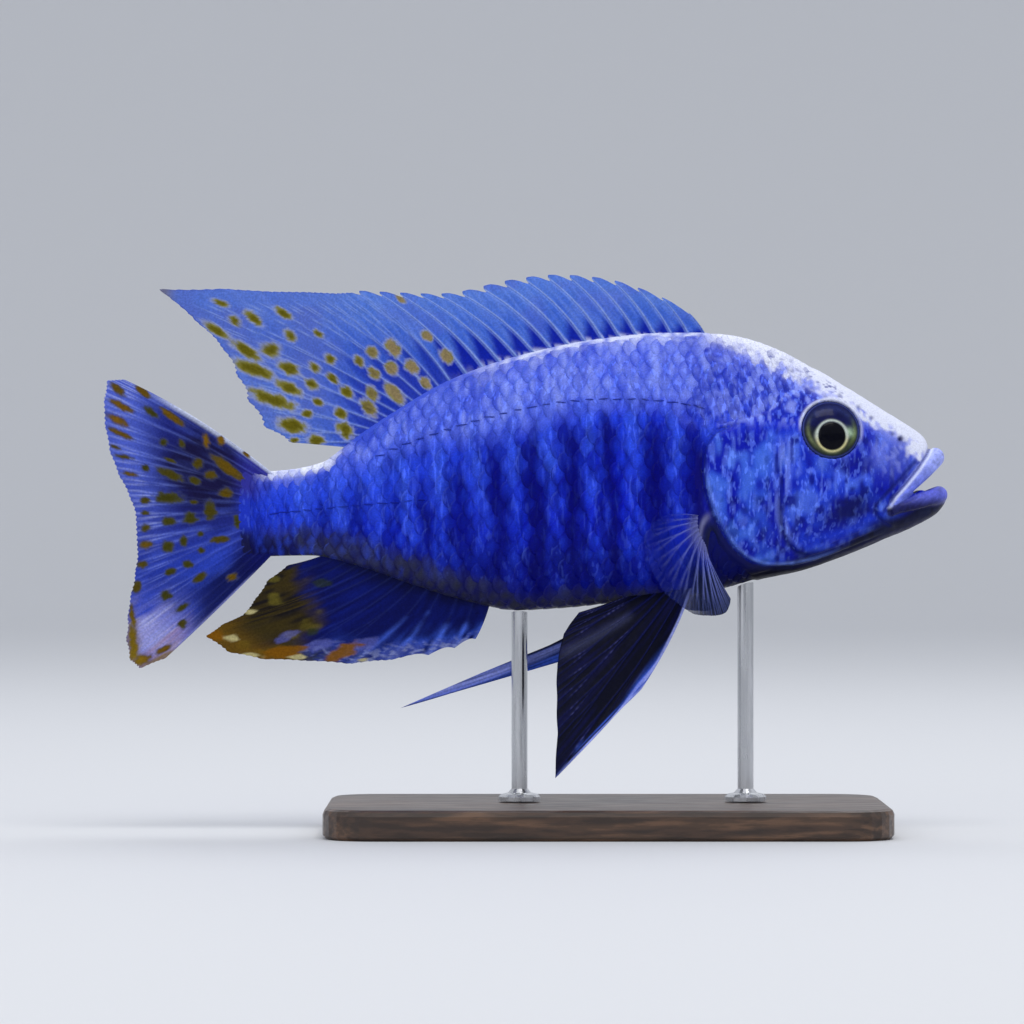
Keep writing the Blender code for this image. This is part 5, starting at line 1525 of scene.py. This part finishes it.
def dorsal_fin():
    t = np.arange(SPINES) / (SPINES - 1)
    roots = on_back(part_way(SPINE_ROOTS, t))
    tip_x = part_way(SPINE_TIPS, t**0.93)
    tips = np.stack([tip_x, 0 * t, dorsal_margin(tip_x)], 1)
    bends = vias(roots, tips, 0.38, 0.6)
    soft_tips, t = fin_tips(DORSAL_RAY_TIPS)
    soft_roots = on_back(part_way(DORSAL_RAY_ROOTS, t))
    soft_bends = vias(soft_roots, soft_tips, 0.42, 0.58 - 0.12 * t)
    pairs = ((roots, soft_roots), (bends, soft_bends), (tips, soft_tips))
    roots, bends, tips = (np.concatenate(pair) for pair in pairs)

    lobe = curve([(0, 0), (0.06, -1), (0.14, -1), (0.3, 0.1), (0.55, 0.9), (0.8, 0.9), (1, 0)])

    def margin(t, f):
        soft = smooth(SPINES - 1.2, SPINES - 0.4, t)
        rear = smooth(SPINES + 2, SPINES + 5, t)
        fringe = (0.3 + 0.2 * rear) * np.sin(f * 5 * math.pi) ** 2 - 0.9 * rear * np.sin(f * math.pi)
        return lobe(f) * (1 - soft) + fringe * soft

    def wave(x, z, s):
        return 0.7 * s * np.sin(0.11 * (x + 12.0))

    made = fin(roots, bends, tips, 14, 80, margin, LOOK | {"fork": 0.0, "ridge": 0.24, "width": 0.22}, wave)
    soft_look = fin(roots, bends, tips, 14, 80, margin, LOOK, wave)
    soft = smooth(SPINES - 1.5, SPINES - 0.5, made["t"])
    for key in ("half", "ridge"):
        made[key] = made[key] * (1 - soft) + soft_look[key] * soft

    def paint(made):
        x, z, s, t = along_fin(made)
        soft = smooth(SPINES - 1.5, SPINES - 0.5, t)
        grain = noise(x + z * 0.8, 0, z - x * 0.4, (0.5, 1, 3.5), 41)
        cloud = noise(x, 0, z, (5, 1, 3), 42)
        colour = Layers(x, 62, 100, 204)
        colour.over(88, 126, 214, smooth(0.35, 0.95, s + 0.15 * cloud) * 0.8)
        colour.over(124, 154, 230, clamp(0.3 + grain) * 0.36)
        colour.over(84, 92, 196, smooth(0, 0.6, cloud) * 0.3)
        colour.over(40, 60, 178, soft * smooth(0.75, 0.1, s) * 0.45)
        dull = smooth(-32, -44, x + 2.0 * cloud)
        colour.over(84, 104, 190, dull * (0.45 + 0.3 * smooth(-0.3, 0.4, cloud)))
        f = made["f"]
        tall = 0.36 + 0.16 * smooth(4, 14, t)
        wedge = smooth(0.1, -0.1, s - tall * (1 - 0.75 * f)) * smooth(0.02, 0.1, f)
        colour.over(6, 26, 156, wedge * (0.96 - 0.3 * soft) * smooth(-41, -31, x))
        colour.over(160, 184, 240, made["ridge"] * (0.75 - 0.35 * soft))
        twin = bell((f - 0.12) * made["gap"], 0.16) * (1 - soft)
        colour.over(140, 168, 236, twin * 0.45)
        beads = smooth(-0.35, 0.15, noise(x + 0.3 * z, 0, z, (0.6, 1, 1.6), 59)) * smooth(-18, 0, x)
        colour.over(222, 228, 252, smooth(0.07 + 0.1 * f, 0.02, s) * (0.35 + 0.65 * beads) * beads)
        colour.over(40, 62, 170, smooth(0.985, 1, s) * 0.4)
        share, _ = spots_share(x, z, DORSAL_SPOTS)
        spotted(colour, share, x, z, rgb(92, 84, 2), rgb(128, 122, 14), rgb(160, 168, 200), 0.6)
        front = smooth(-36, -26, x) * smooth(-0.2, 0.3, share + 0.3 * noise(x, 0, z, 0.7, 49))
        colour.over(158, 138, 108, front * 0.6)
        tip = smooth(-69.5, -72.5, x)
        colour.over(120, 108, 60, tip * 0.6)
        return colour.mixed

    nodes = ("dorsal_fin_spiny", "dorsal_fin_soft")
    fin_piece("dorsal_fin", made, paint, fin_material("dorsal_blue"), nodes)


def tail_fin():
    tips, t = fin_tips(TAIL_TIPS)
    roots = np.stack([TAIL_ROOT_X + 2.0 * (2 * t - 1) ** 2, 0 * t, part_way(TAIL_ROOT_HEIGHTS, t)], 1)
    bends = (roots + tips) / 2
    bends[:, 2] += 2.9 * (1 - t) ** 2 - 0.8 * t

    def margin(t, f):
        return 0.35 * np.sin(f * 5 * math.pi) ** 2 - 0.4 * np.sin(f * math.pi) * random_at(np.floor(t), 4)

    def wave(x, z, s):
        return 1.5 * s**2 * np.sin(0.16 * (z + 6.0))

    made = fin(roots, bends, tips, 14, 84, margin, LOOK | {"root": 1.0}, wave)

    def paint(made):
        x, z, s, t = along_fin(made)
        share = t / (len(TAIL_TIPS) - 1)
        colour = Layers(x, 34, 44, 132)
        grain = noise(t * 3, 0, s * 30, (0.7, 1, 5), 43)
        cloud = noise(x, 0, z, (5, 1, 3), 44)
        colour.over(46, 76, 206, smooth(0.45, 0.8, share) * smooth(0.1, 0.4, s) * 0.75)
        dusk = blob(x + 64, z - 6, 9.5, 8) * smooth(-53.5, -59.5, x)
        colour.over(22, 19, 58, clamp(dusk * (1.6 + 0.5 * cloud)) * 0.96)
        colour.over(88, 108, 216, smooth(0.62, 0.9, s) * smooth(0.62, 0.2, share) * 0.75)
        colour.over(84, 108, 222, clamp(0.1 + 0.9 * grain) * (0.32 - 0.25 * dusk))
        above_edge = z - (-12.0 + 0.79 * (x + 50.0)) + 1.2 * cloud + grain
        low = smooth(10.5, 4, above_edge) * smooth(-70.5, -63, x + cloud)
        colour.over(9, 12, 62, low * 0.92)
        colour.blend(tail_root_colour(z), smooth(0.3, 0.08, s) * 0.9)
        darker = blob(x + 69, z + 18.5, 8, 5) * (0.8 + 0.8 * cloud)
        colour.over(24, 34, 112, clamp(darker) * 0.75)
        fine = noise(t * 7, 0, s * 30, (0.8, 1, 4), 52)
        lobe = blob(x + 75, z + 27, 6, 5.4) * (0.9 + 0.5 * cloud + 0.7 * fine)
        colour.over(158, 158, 218, clamp(1.25 * lobe))
        colour.over(196, 200, 240, lobe * smooth(0.15, 0.6, fine) * 0.5)
        rosy = smooth(4, 1, above_edge) * smooth(-66, -71, x)
        colour.over(168, 140, 158, rosy * 0.6)
        rays = made["ridge"] * (0.08 + 0.36 * smooth(0.4, 0.9, s)) * clamp(0.7 + 0.9 * grain)
        colour.over(130, 148, 234, rays * (1 - 0.8 * low))
        streak = smooth(0.8, 0.92, s) * made["ridge"] * smooth(0.6, 0.45, share)
        colour.over(186, 196, 244, streak * 0.7)
        inside, which = spots_share(x, z, TAIL_SPOTS)
        orange = np.array([spot[5] for spot in TAIL_SPOTS])[which]
        inner = tones((60, 58, 6), (124, 88, 6), orange)
        outer = tones((66, 66, 26), (98, 76, 22), orange)
        spotted(colour, inside + 0.2 * grain, x, z, inner, outer, rgb(62, 70, 120))
        hem = smooth(0.9, 0.96, s + 0.03 * cloud) * smooth(0.66, 0.84, share)
        colour.over(132, 108, 22, hem * (0.75 + 0.3 * fine))
        upper = smooth(0.05, 0, share) * smooth(0.88, 0.6, s) * smooth(0.2, -0.1, inside)
        colour.over(214, 222, 246, upper * 0.9)
        under = smooth(0.975, 1, share) * smooth(0.94, 0.8, s) * smooth(0.15, 0.35, s)
        colour.over(140, 146, 214, under * 0.7)
        return colour.mixed

    fin_piece("tail_fin", made, paint, fin_material("tail_blue"), ("caudal_fin",))


def anal_fin():
    rows = [(fin_tips(ANAL_SPINE_TIPS), ANAL_SPINE_ROOTS), (fin_tips(ANAL_RAY_TIPS), ANAL_RAY_ROOTS)]
    roots = np.concatenate([on_belly(part_way(ends, t)) for (_, t), ends in rows])
    tips = np.concatenate([places for (places, _), _ in rows])
    bends = vias(roots, tips, 0.4, 0.6)

    def margin(t, f):
        spiny = smooth(3, 2.2, t)
        fringe = 0.3 * np.sin(f * 5 * math.pi) ** 2 - 0.3 * np.sin(f * math.pi)
        return fringe * (1 - spiny) - 0.9 * np.sin(f * math.pi) * spiny

    def wave(x, z, s):
        return -0.8 * s * np.sin(0.12 * (x + 30.0))

    made = fin(roots, bends, tips, 14, 64, margin, LOOK, wave)

    def paint(made):
        x, z, s, t = along_fin(made)
        colour = Layers(x, 9, 17, 84)
        grain = noise(t * 3, 0, s * 30, (0.7, 1, 5), 45)
        cloud = noise(x, 0, z, (3, 1, 1.6), 46)
        colour.over(16, 34, 140, clamp(0.2 + 0.8 * grain) * 0.5)
        colour.over(6, 8, 34, smooth(0.2, 0, s) * 0.8)
        front = smooth(6.4, 1.6, t + 1.2 * cloud) * smooth(0.42, 0.85, s + 0.1 * grain)
        colour.over(52, 84, 196, front * clamp(0.7 + grain) * 0.85)
        f = made["f"]
        stroke = bell(np.minimum(f, 1 - f) * made["gap"] / (0.35 + 0.5 * s), 1) * smooth(4.8, 3.4, t)
        stroke = stroke * smooth(0.28, 0.6, s + 0.15 * cloud) * clamp(0.85 + 0.9 * grain)
        colour.over(74, 108, 226, stroke * 0.8)
        colour.over(142, 158, 226, stroke * smooth(0.7, 0.95, s) * 0.6)
        edge = smooth(0.66, 0.9, s + 0.08 * grain) * smooth(8.6, 4, t)
        colour.over(66, 76, 150, edge * clamp(0.6 + grain) * 0.8)
        mottle = noise(x + z, 0, z - x * 0.3, (0.9, 1, 0.45), 47)
        colour.over(150, 160, 206, edge * smooth(0, 0.5, mottle) * 0.5)
        colour.over(62, 70, 60, edge * smooth(-0.15, -0.5, mottle) * smooth(3.4, 5, t) * 0.5)
        colour.over(60, 76, 160, (1 - front) * made["ridge"] * 0.14)
        limit = -46.0 + (-12.5 - z) * 0.42 + 1.2 * cloud - 6.0 * smooth(-24, -27.5, z)
        rear = smooth(3, -3, x - limit + 1.2 * grain)
        colour.blend(tones((58, 48, 8), (26, 22, 6), smooth(-0.2, 0.5, grain)), rear * 0.95)
        colour.over(116, 106, 34, rear * smooth(0.2, 0.7, cloud) * 0.5)
        brown = smooth(0.78, 0.95, s) * smooth(-44, -50, x) * smooth(-22, -26, z)
        colour.over(104, 76, 18, brown * 0.8)
        for kind, (*tone, strength) in ANAL_TONES.items():
            inside, _ = spots_share(x, z, [spot for spot in ANAL_BLOTCHES if spot[5] == kind])
            ragged = inside + 0.5 * noise(x, 0, z, (1.4, 1, 0.5), 48) + 0.3 * grain
            colour.over(*tone, smooth(-0.3, 0.2, ragged) * strength)
        return colour.mixed

    fin_piece("anal_fin_web", made, paint, fin_material("anal_olive"), ("anal_fin",))


def pelvic_fins():
    material = fin_material("pelvic_dark")
    for side, name, table, flat in (
        (-1, "right", PELVIC_SPREAD, False), (1, "left", PELVIC_FOLDED, True),
    ):
        front, rear = (np.array((x, side * y, z)) for x, z, y in PELVIC_ROOTS)
        count = len(table)
        t = (np.arange(count) / (count - 1))[:, None]
        roots = front * (1 - t) + rear * t
        tips = np.array([(x, side * y, z) for _, (x, z, y) in table])
        out = np.abs(roots[:, 1]) * 0.6 + np.abs(tips[:, 1]) * 0.4
        bends = np.array([(bx, side * o, bz) for ((bx, bz), _), o in zip(table, out)])
        look = LOOK | {"root": 0.65}

        def margin(t, f):
            return 0.2 * np.sin(f * math.pi) ** 2 - (0.0 if flat else 1.3) * bell(t - 0.3, 0.16)

        made = fin(roots, bends, tips, 26, 48, margin, look, None, flat)

        def paint(made):
            x, z, s, t = along_fin(made)
            grain = noise(t * 4, 0, s * 30, (0.7, 1, 5), 51)
            colour = Layers(x, 6, 8, 28)
            colour.over(14, 18, 84, clamp(0.1 + 0.8 * grain) * 0.5)
            joints = smooth(0.2, 0.9, np.sin(s * 150)) * between(s, 0.25, 0.45, 0.8, 1)
            colour.over(110, 112, 170, made["ridge"] * joints * smooth(-0.1, 0.5, grain) * 0.7)
            colour.over(30, 38, 112, made["ridge"] * 0.35)
            if side > 0:
                streak = smooth(0.35, 0.62, s) * smooth(2.6, 1.6, t)
                edge = bell(t - 1.6, 0.5) * smooth(0.4, 0.6, s)
            else:
                bulge = smooth(0.42, 0.75, s) * smooth(0.62, 0.2, t)
                thread = bell(s - 0.84, 0.03) * between(t, 0.2, 0.5, 0.9, 1.2)
                streak = np.maximum(np.maximum(bulge, thread), smooth(0.9, 0.94, s) * smooth(1.1, 0.95, t))
                aside = off_line(x, z, made["grid"][0][:, (0, 2)])
                edge = 1.4 * smooth(0.62, 0.28, np.abs(aside)) * between(s, 0.02, 0.1, 0.75, 0.95)
                edge = edge + smooth(0.9, 0.95, s) * smooth(1.08, 0.95, t)
                edge = edge + 0.6 * bulge * smooth(0, 0.4, grain)
                band = off_line(x, z, [(6.4, -30.8), (13.0, -27.4), (20.5, -23.0)])
                colour.over(58, 62, 92, bell(band, 0.9) * between(x, 5, 9, 19, 23) * 0.6)
            colour.over(66, 102, 228, clamp(streak * (0.8 + 0.7 * grain)) * 0.9)
            colour.over(158, 168, 238, clamp(edge * (0.8 + 0.6 * grain)) * 0.85)
            return colour.mixed

        fin_piece("pelvic_fin_web_" + name, made, paint, material, ("pelvic_fin_" + name,))


def pectoral_fins():
    material = fin_material("pectoral_pale", True)
    for side, name in SIDES:
        ends = [np.array((x, side * (float(flank_y(x, z)) - 1.6), z)) for x, z in PECTORAL_ROOTS]
        t = (np.arange(PECTORAL_RAYS) / (PECTORAL_RAYS - 1))[:, None]
        roots = ends[0] * (1 - t) + ends[1] * t
        tips = spread([(x, side * y, z) for x, z, y in PECTORAL_TIPS], PECTORAL_RAYS)
        bends = (roots + tips) / 2 + np.array((-0.6, side * 1.5, 0.4))

        def margin(t, f):
            return 0.12 * np.sin(f * math.pi) + 0.1 * np.sin(f * 5 * math.pi) ** 2

        look = LOOK | {"root": 0.6, "web": 0.11, "edge": 0.06, "ridge": 0.15, "width": 0.2}
        made = fin(roots, bends, tips, 12, 40, margin, look, None, False)

        def paint(made):
            x, z, s, t = along_fin(made)
            low = smooth(0.3, 0.6, t / (PECTORAL_RAYS - 1))
            colour = Layers(x, 24, 48, 184)
            colour.over(16, 24, 52, low * smooth(0.15, 0.55, s))
            tone = tones((128, 140, 220), (62, 72, 124), low * smooth(0.3, 1, s))
            colour.blend(tone, made["ridge"] * (0.9 - 0.5 * (1 - low) * smooth(0.3, 0.9, s)))
            colour.over(128, 132, 188, smooth(0.34, 0.06, s) * 0.85)
            return colour.mixed

        def alpha(made):
            s = made["s"]
            low = smooth(0.4, 0.75, made["t"] / (PECTORAL_RAYS - 1))
            web = 0.2 - 0.1 * (1 - low) * smooth(0.5, 0.9, s)
            web = web + 0.68 * low * smooth(0.2, 0.6, s) + 0.55 * smooth(0.34, 0.06, s)
            rays = made["ridge"] * (0.62 * smooth(0.9, 0.15, s) * (1 - low) + 0.8 * low)
            return clamp(np.maximum(web, rays))

        nodes = ("pectoral_fin_" + name,)
        fin_piece("pectoral_fin_web_" + name, made, paint, material, nodes, alpha)


# Eyes


def eyes():
    """Each eyeball with its iris, ring and pupil, under a clear wet coat."""
    material, _, _ = painted(
        "eye_iris", (0.25, 0.88, 1.12), (1.0, 0.16, 0.26), ((0.2, 0.01),),
        Specular_IOR_Level=0.05, Coat_Weight=0.1, Coat_Roughness=0.02, Coat_IOR=1.45,
    )
    for side, name in SIDES:
        centre, ahead, out, up = eye_frame(side)
        reach = np.concatenate([np.linspace(0.02, 6.1, EYE_RINGS), [6.0, 5.0, 3.0, 0.4]])
        depth = EYE_DEPTH * np.sqrt(clamp(1 - (np.minimum(reach, 6.1) / EYEBALL_RADIUS) ** 2))
        depth[EYE_RINGS:] = [0.6, 0.0, -0.4, -0.5]
        turn = full_turn(EYE_SIDES)
        u = reach[:, None] * np.cos(turn)
        v = reach[:, None] * np.sin(turn)
        w = depth[:, None] + 0 * u
        pu, pv, pr = PUPIL
        away = np.hypot(u - pu, v - pv)
        seen = (np.arange(len(reach)) < EYE_RINGS)[:, None]
        dome = 0.16 * smooth(pr - 0.1, pr - 1.4, away)
        w = w + seen * (dome - 0.10 * bell(away - pr, 0.18) + 0.05 * bell(away - 3.1, 0.3))
        points = centre + u[..., None] * ahead + w[..., None] * out + v[..., None] * up
        rows = numbered(*u.shape)
        faces = [tube_faces(rows, True), rows[:1], rows[-1:]]
        mesh = make_mesh("eye_ball_" + name, points.reshape(-1, 3), faces)
        face_out(mesh)
        mesh.shade_smooth()
        set_colour(mesh, eye_colour(u, v).reshape(-1, 3))
        add_piece(mesh.name, mesh, material, ("eye_" + name,))


def near_turn(angle, degrees, width):
    """1 where an angle points along degrees, fading to both sides."""
    return bell(np.angle(np.exp(1j * (angle - math.radians(degrees)))), width)


def eye_colour(u, v):
    """Dark blue above, olive below, a thin pale ring round the pupil with a blotch in front."""
    pu, pv, pr = PUPIL
    away = np.hypot(u - pu, v - pv)
    turn = np.arctan2(v - pv, u - pu)
    reach = np.hypot(u, v)
    around = np.arctan2(v, u)
    grain = noise(u, v, 0, 0.5, 61)
    radial = noise(turn * 6, reach * 0.8, 0, 0.6, 62)
    colour = Layers(u, 12, 16, 68)
    colour.over(40, 50, 104, bell(reach - 4.3, 0.8) * smooth(0.5, 3, v) * 0.5)
    lower = smooth(0.4, -1.6, v + 0.2 * u)
    colour.over(20, 27, 36, lower * 0.9)
    left = near_turn(around, 200, 0.62)
    colour.over(128, 138, 92, bell(reach - 4.75, 0.34) * left * 0.6)
    floor = near_turn(around, 262, 0.7)
    colour.over(96, 112, 70, bell(reach - 4.9, 0.36) * floor * 0.4)
    right = near_turn(around, -14, 0.5)
    colour.over(118, 136, 72, bell(reach - 4.7, 0.5) * right * 0.7)
    colour.shade(1 + 0.22 * grain + 0.18 * radial)
    blotch = blob(u - pu - 3.55, v - pv - 0.75, 0.95, 0.85)
    colour.over(176, 204, 168, clamp(blotch * (0.9 + 0.3 * grain)))
    gold = tones((196, 206, 196), (214, 208, 150), smooth(0.6, -1.8, v - pv))
    thick = 0.24 + 0.16 * near_turn(turn, 178, 0.4) + 0.14 * bell(turn - 0.25, 0.5)
    colour.blend(gold, bell(away - pr - 0.34, thick) * (0.92 + 0.1 * grain))
    colour.over(2, 3, 14, smooth(pr + 0.1, pr - 0.06, away))
    colour.over(84, 96, 170, bell(reach - 5.62, 0.16) * 0.6)
    colour.over(24, 34, 110, smooth(5.8, 5.95, reach))
    return clamp(colour.mixed)


# Stand


def stand_materials():
    """Dark oiled wood for the base and brushed steel for the rods."""
    wood, tree, shader = new_material("base_wood", Coat_Weight=0.25, Coat_Roughness=0.3)
    place = node(tree, "ShaderNodeTexCoord").outputs["Object"]
    stretched = node(tree, "ShaderNodeMapping", Vector=place, Scale=(0.12, 1.0, 1.0)).outputs["Vector"]
    drift = node(tree, "ShaderNodeTexNoise", Vector=stretched, Scale=90.0, Detail=3.0).outputs["Fac"]
    fibre = node(tree, "ShaderNodeTexNoise", Vector=stretched, Scale=900.0, Detail=5.0, Roughness=0.6)
    rings = node(tree, "ShaderNodeMath", {"operation": "SINE"}, i0=sums(tree, "MULTIPLY", drift, 46.0))
    grain = ramp(tree, rings.outputs[0], -0.9, 1.0)
    colour = blend(tree, grain, (0.050, 0.024, 0.012, 1.0), (0.115, 0.058, 0.029, 1.0))
    pores = ramp(tree, fibre.outputs["Fac"], 0.42, 0.6, 0.55, 1.1)
    grey = node(tree, "ShaderNodeCombineColor", Red=pores, Green=pores, Blue=pores).outputs[0]
    tree.links.new(blend(tree, 1.0, colour, grey, "MULTIPLY"), shader.inputs["Base Color"])
    tree.links.new(ramp(tree, fibre.outputs["Fac"], 0.35, 0.65, 0.46, 0.32), shader.inputs["Roughness"])
    tree.links.new(bump(tree, fibre.outputs["Fac"], 0.08 * MM, 0.7), shader.inputs["Normal"])

    steel, tree, shader = new_material("rod_steel", Metallic=1.0)
    place = node(tree, "ShaderNodeTexCoord").outputs["Object"]
    stretched = node(tree, "ShaderNodeMapping", Vector=place, Scale=(1.0, 1.0, 0.08)).outputs["Vector"]
    lines = node(tree, "ShaderNodeTexNoise", Vector=stretched, Scale=500.0, Detail=3.0).outputs["Fac"]
    colour = blend(tree, ramp(tree, lines, 0.35, 0.65), (0.50, 0.51, 0.53, 1.0), (0.66, 0.67, 0.69, 1.0))
    tree.links.new(colour, shader.inputs["Base Color"])
    tree.links.new(ramp(tree, lines, 0.3, 0.7, 0.22, 0.36), shader.inputs["Roughness"])
    tree.links.new(bump(tree, lines, 0.012 * MM, 0.5), shader.inputs["Normal"])
    for name, material in (("stand_base", wood), ("stand_rod_front", steel), ("stand_rod_rear", steel)):
        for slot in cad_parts[name].material_slots:
            slot.material = material


# Camera, floor and lights


def stage_floor():
    """A pale floor that turns up into a wall far out, all the way round."""
    flat, rise = np.linspace(0.02, FLOOR_REACH, 20), np.linspace(0.1, math.pi / 2, 14)
    radii = np.concatenate([flat, FLOOR_REACH + FLOOR_BEND * np.sin(rise)])[:, None]
    heights = np.concatenate([0 * flat, FLOOR_BEND * (1 - np.cos(rise))])[:, None]
    turn = full_turn(FLOOR_SIDES)
    points = np.stack([radii * np.cos(turn), radii * np.sin(turn), heights + 0 * turn], 2)
    rows = numbered(len(radii), FLOOR_SIDES)
    obj = flat_object("floor", points.reshape(-1, 3), [tube_faces(rows, True), rows[:1]])
    bpy.context.scene.collection.objects.link(obj)
    look = {"Base_Color": (0.66, 0.67, 0.69, 1.0), "Roughness": 0.7, "Specular_IOR_Level": 0.25}
    obj.data.materials.append(new_material("floor_pale", **look)[0])


def area_light(name, place, target, size, power, colour=(1.0, 1.0, 1.0)):
    light = bpy.data.lights.new(name, "AREA")
    light.shape = "RECTANGLE"
    light.size, light.size_y = size
    light.energy = power
    light.color = colour
    obj = bpy.data.objects.new(name, light)
    obj.location = place
    direction = Vector(target) - Vector(place)
    obj.rotation_euler = direction.to_track_quat("-Z", "Y").to_euler()
    obj.visible_camera = False
    bpy.context.scene.collection.objects.link(obj)


def studio():
    middle = (0.0, 0.0, 0.07)
    area_light("key", (0.1, -0.5, 1.1), middle, (0.7, 0.4), 4.6, (1.0, 0.99, 0.97))
    area_light("fill", (-0.75, -0.95, 0.5), middle, (0.8, 0.6), 1.2, (0.96, 0.98, 1.0))
    area_light("back", (0.1, 0.6, 1.0), middle, (0.9, 0.5), 3.0, (0.97, 0.98, 1.0))
    world = bpy.data.worlds.new("studio")
    world.use_nodes = True
    world.node_tree.nodes["Background"].inputs["Color"].default_value = (0.9, 0.93, 1.0, 1.0)
    world.node_tree.nodes["Background"].inputs["Strength"].default_value = 0.8
    scene = bpy.context.scene
    scene.world = world
    scene.view_settings.view_transform = "Standard"
    camera = bpy.data.cameras.new("camera")
    camera.sensor_width = 36.0
    camera.lens = camera.sensor_width * CAMERA_DISTANCE / PHOTO_WIDTH
    camera.clip_start, camera.clip_end = 0.05, 20.0
    obj = bpy.data.objects.new("camera", camera)
    obj.location = (-0.0029, -CAMERA_DISTANCE, 0.064)
    obj.rotation_euler = (math.pi / 2, 0.0, 0.0)
    scene.collection.objects.link(obj)
    scene.camera = obj


studio()
stage_floor()
skin()
scales()
dorsal_fin()
tail_fin()
anal_fin()
pelvic_fins()
pectoral_fins()
eyes()
stand_materials()
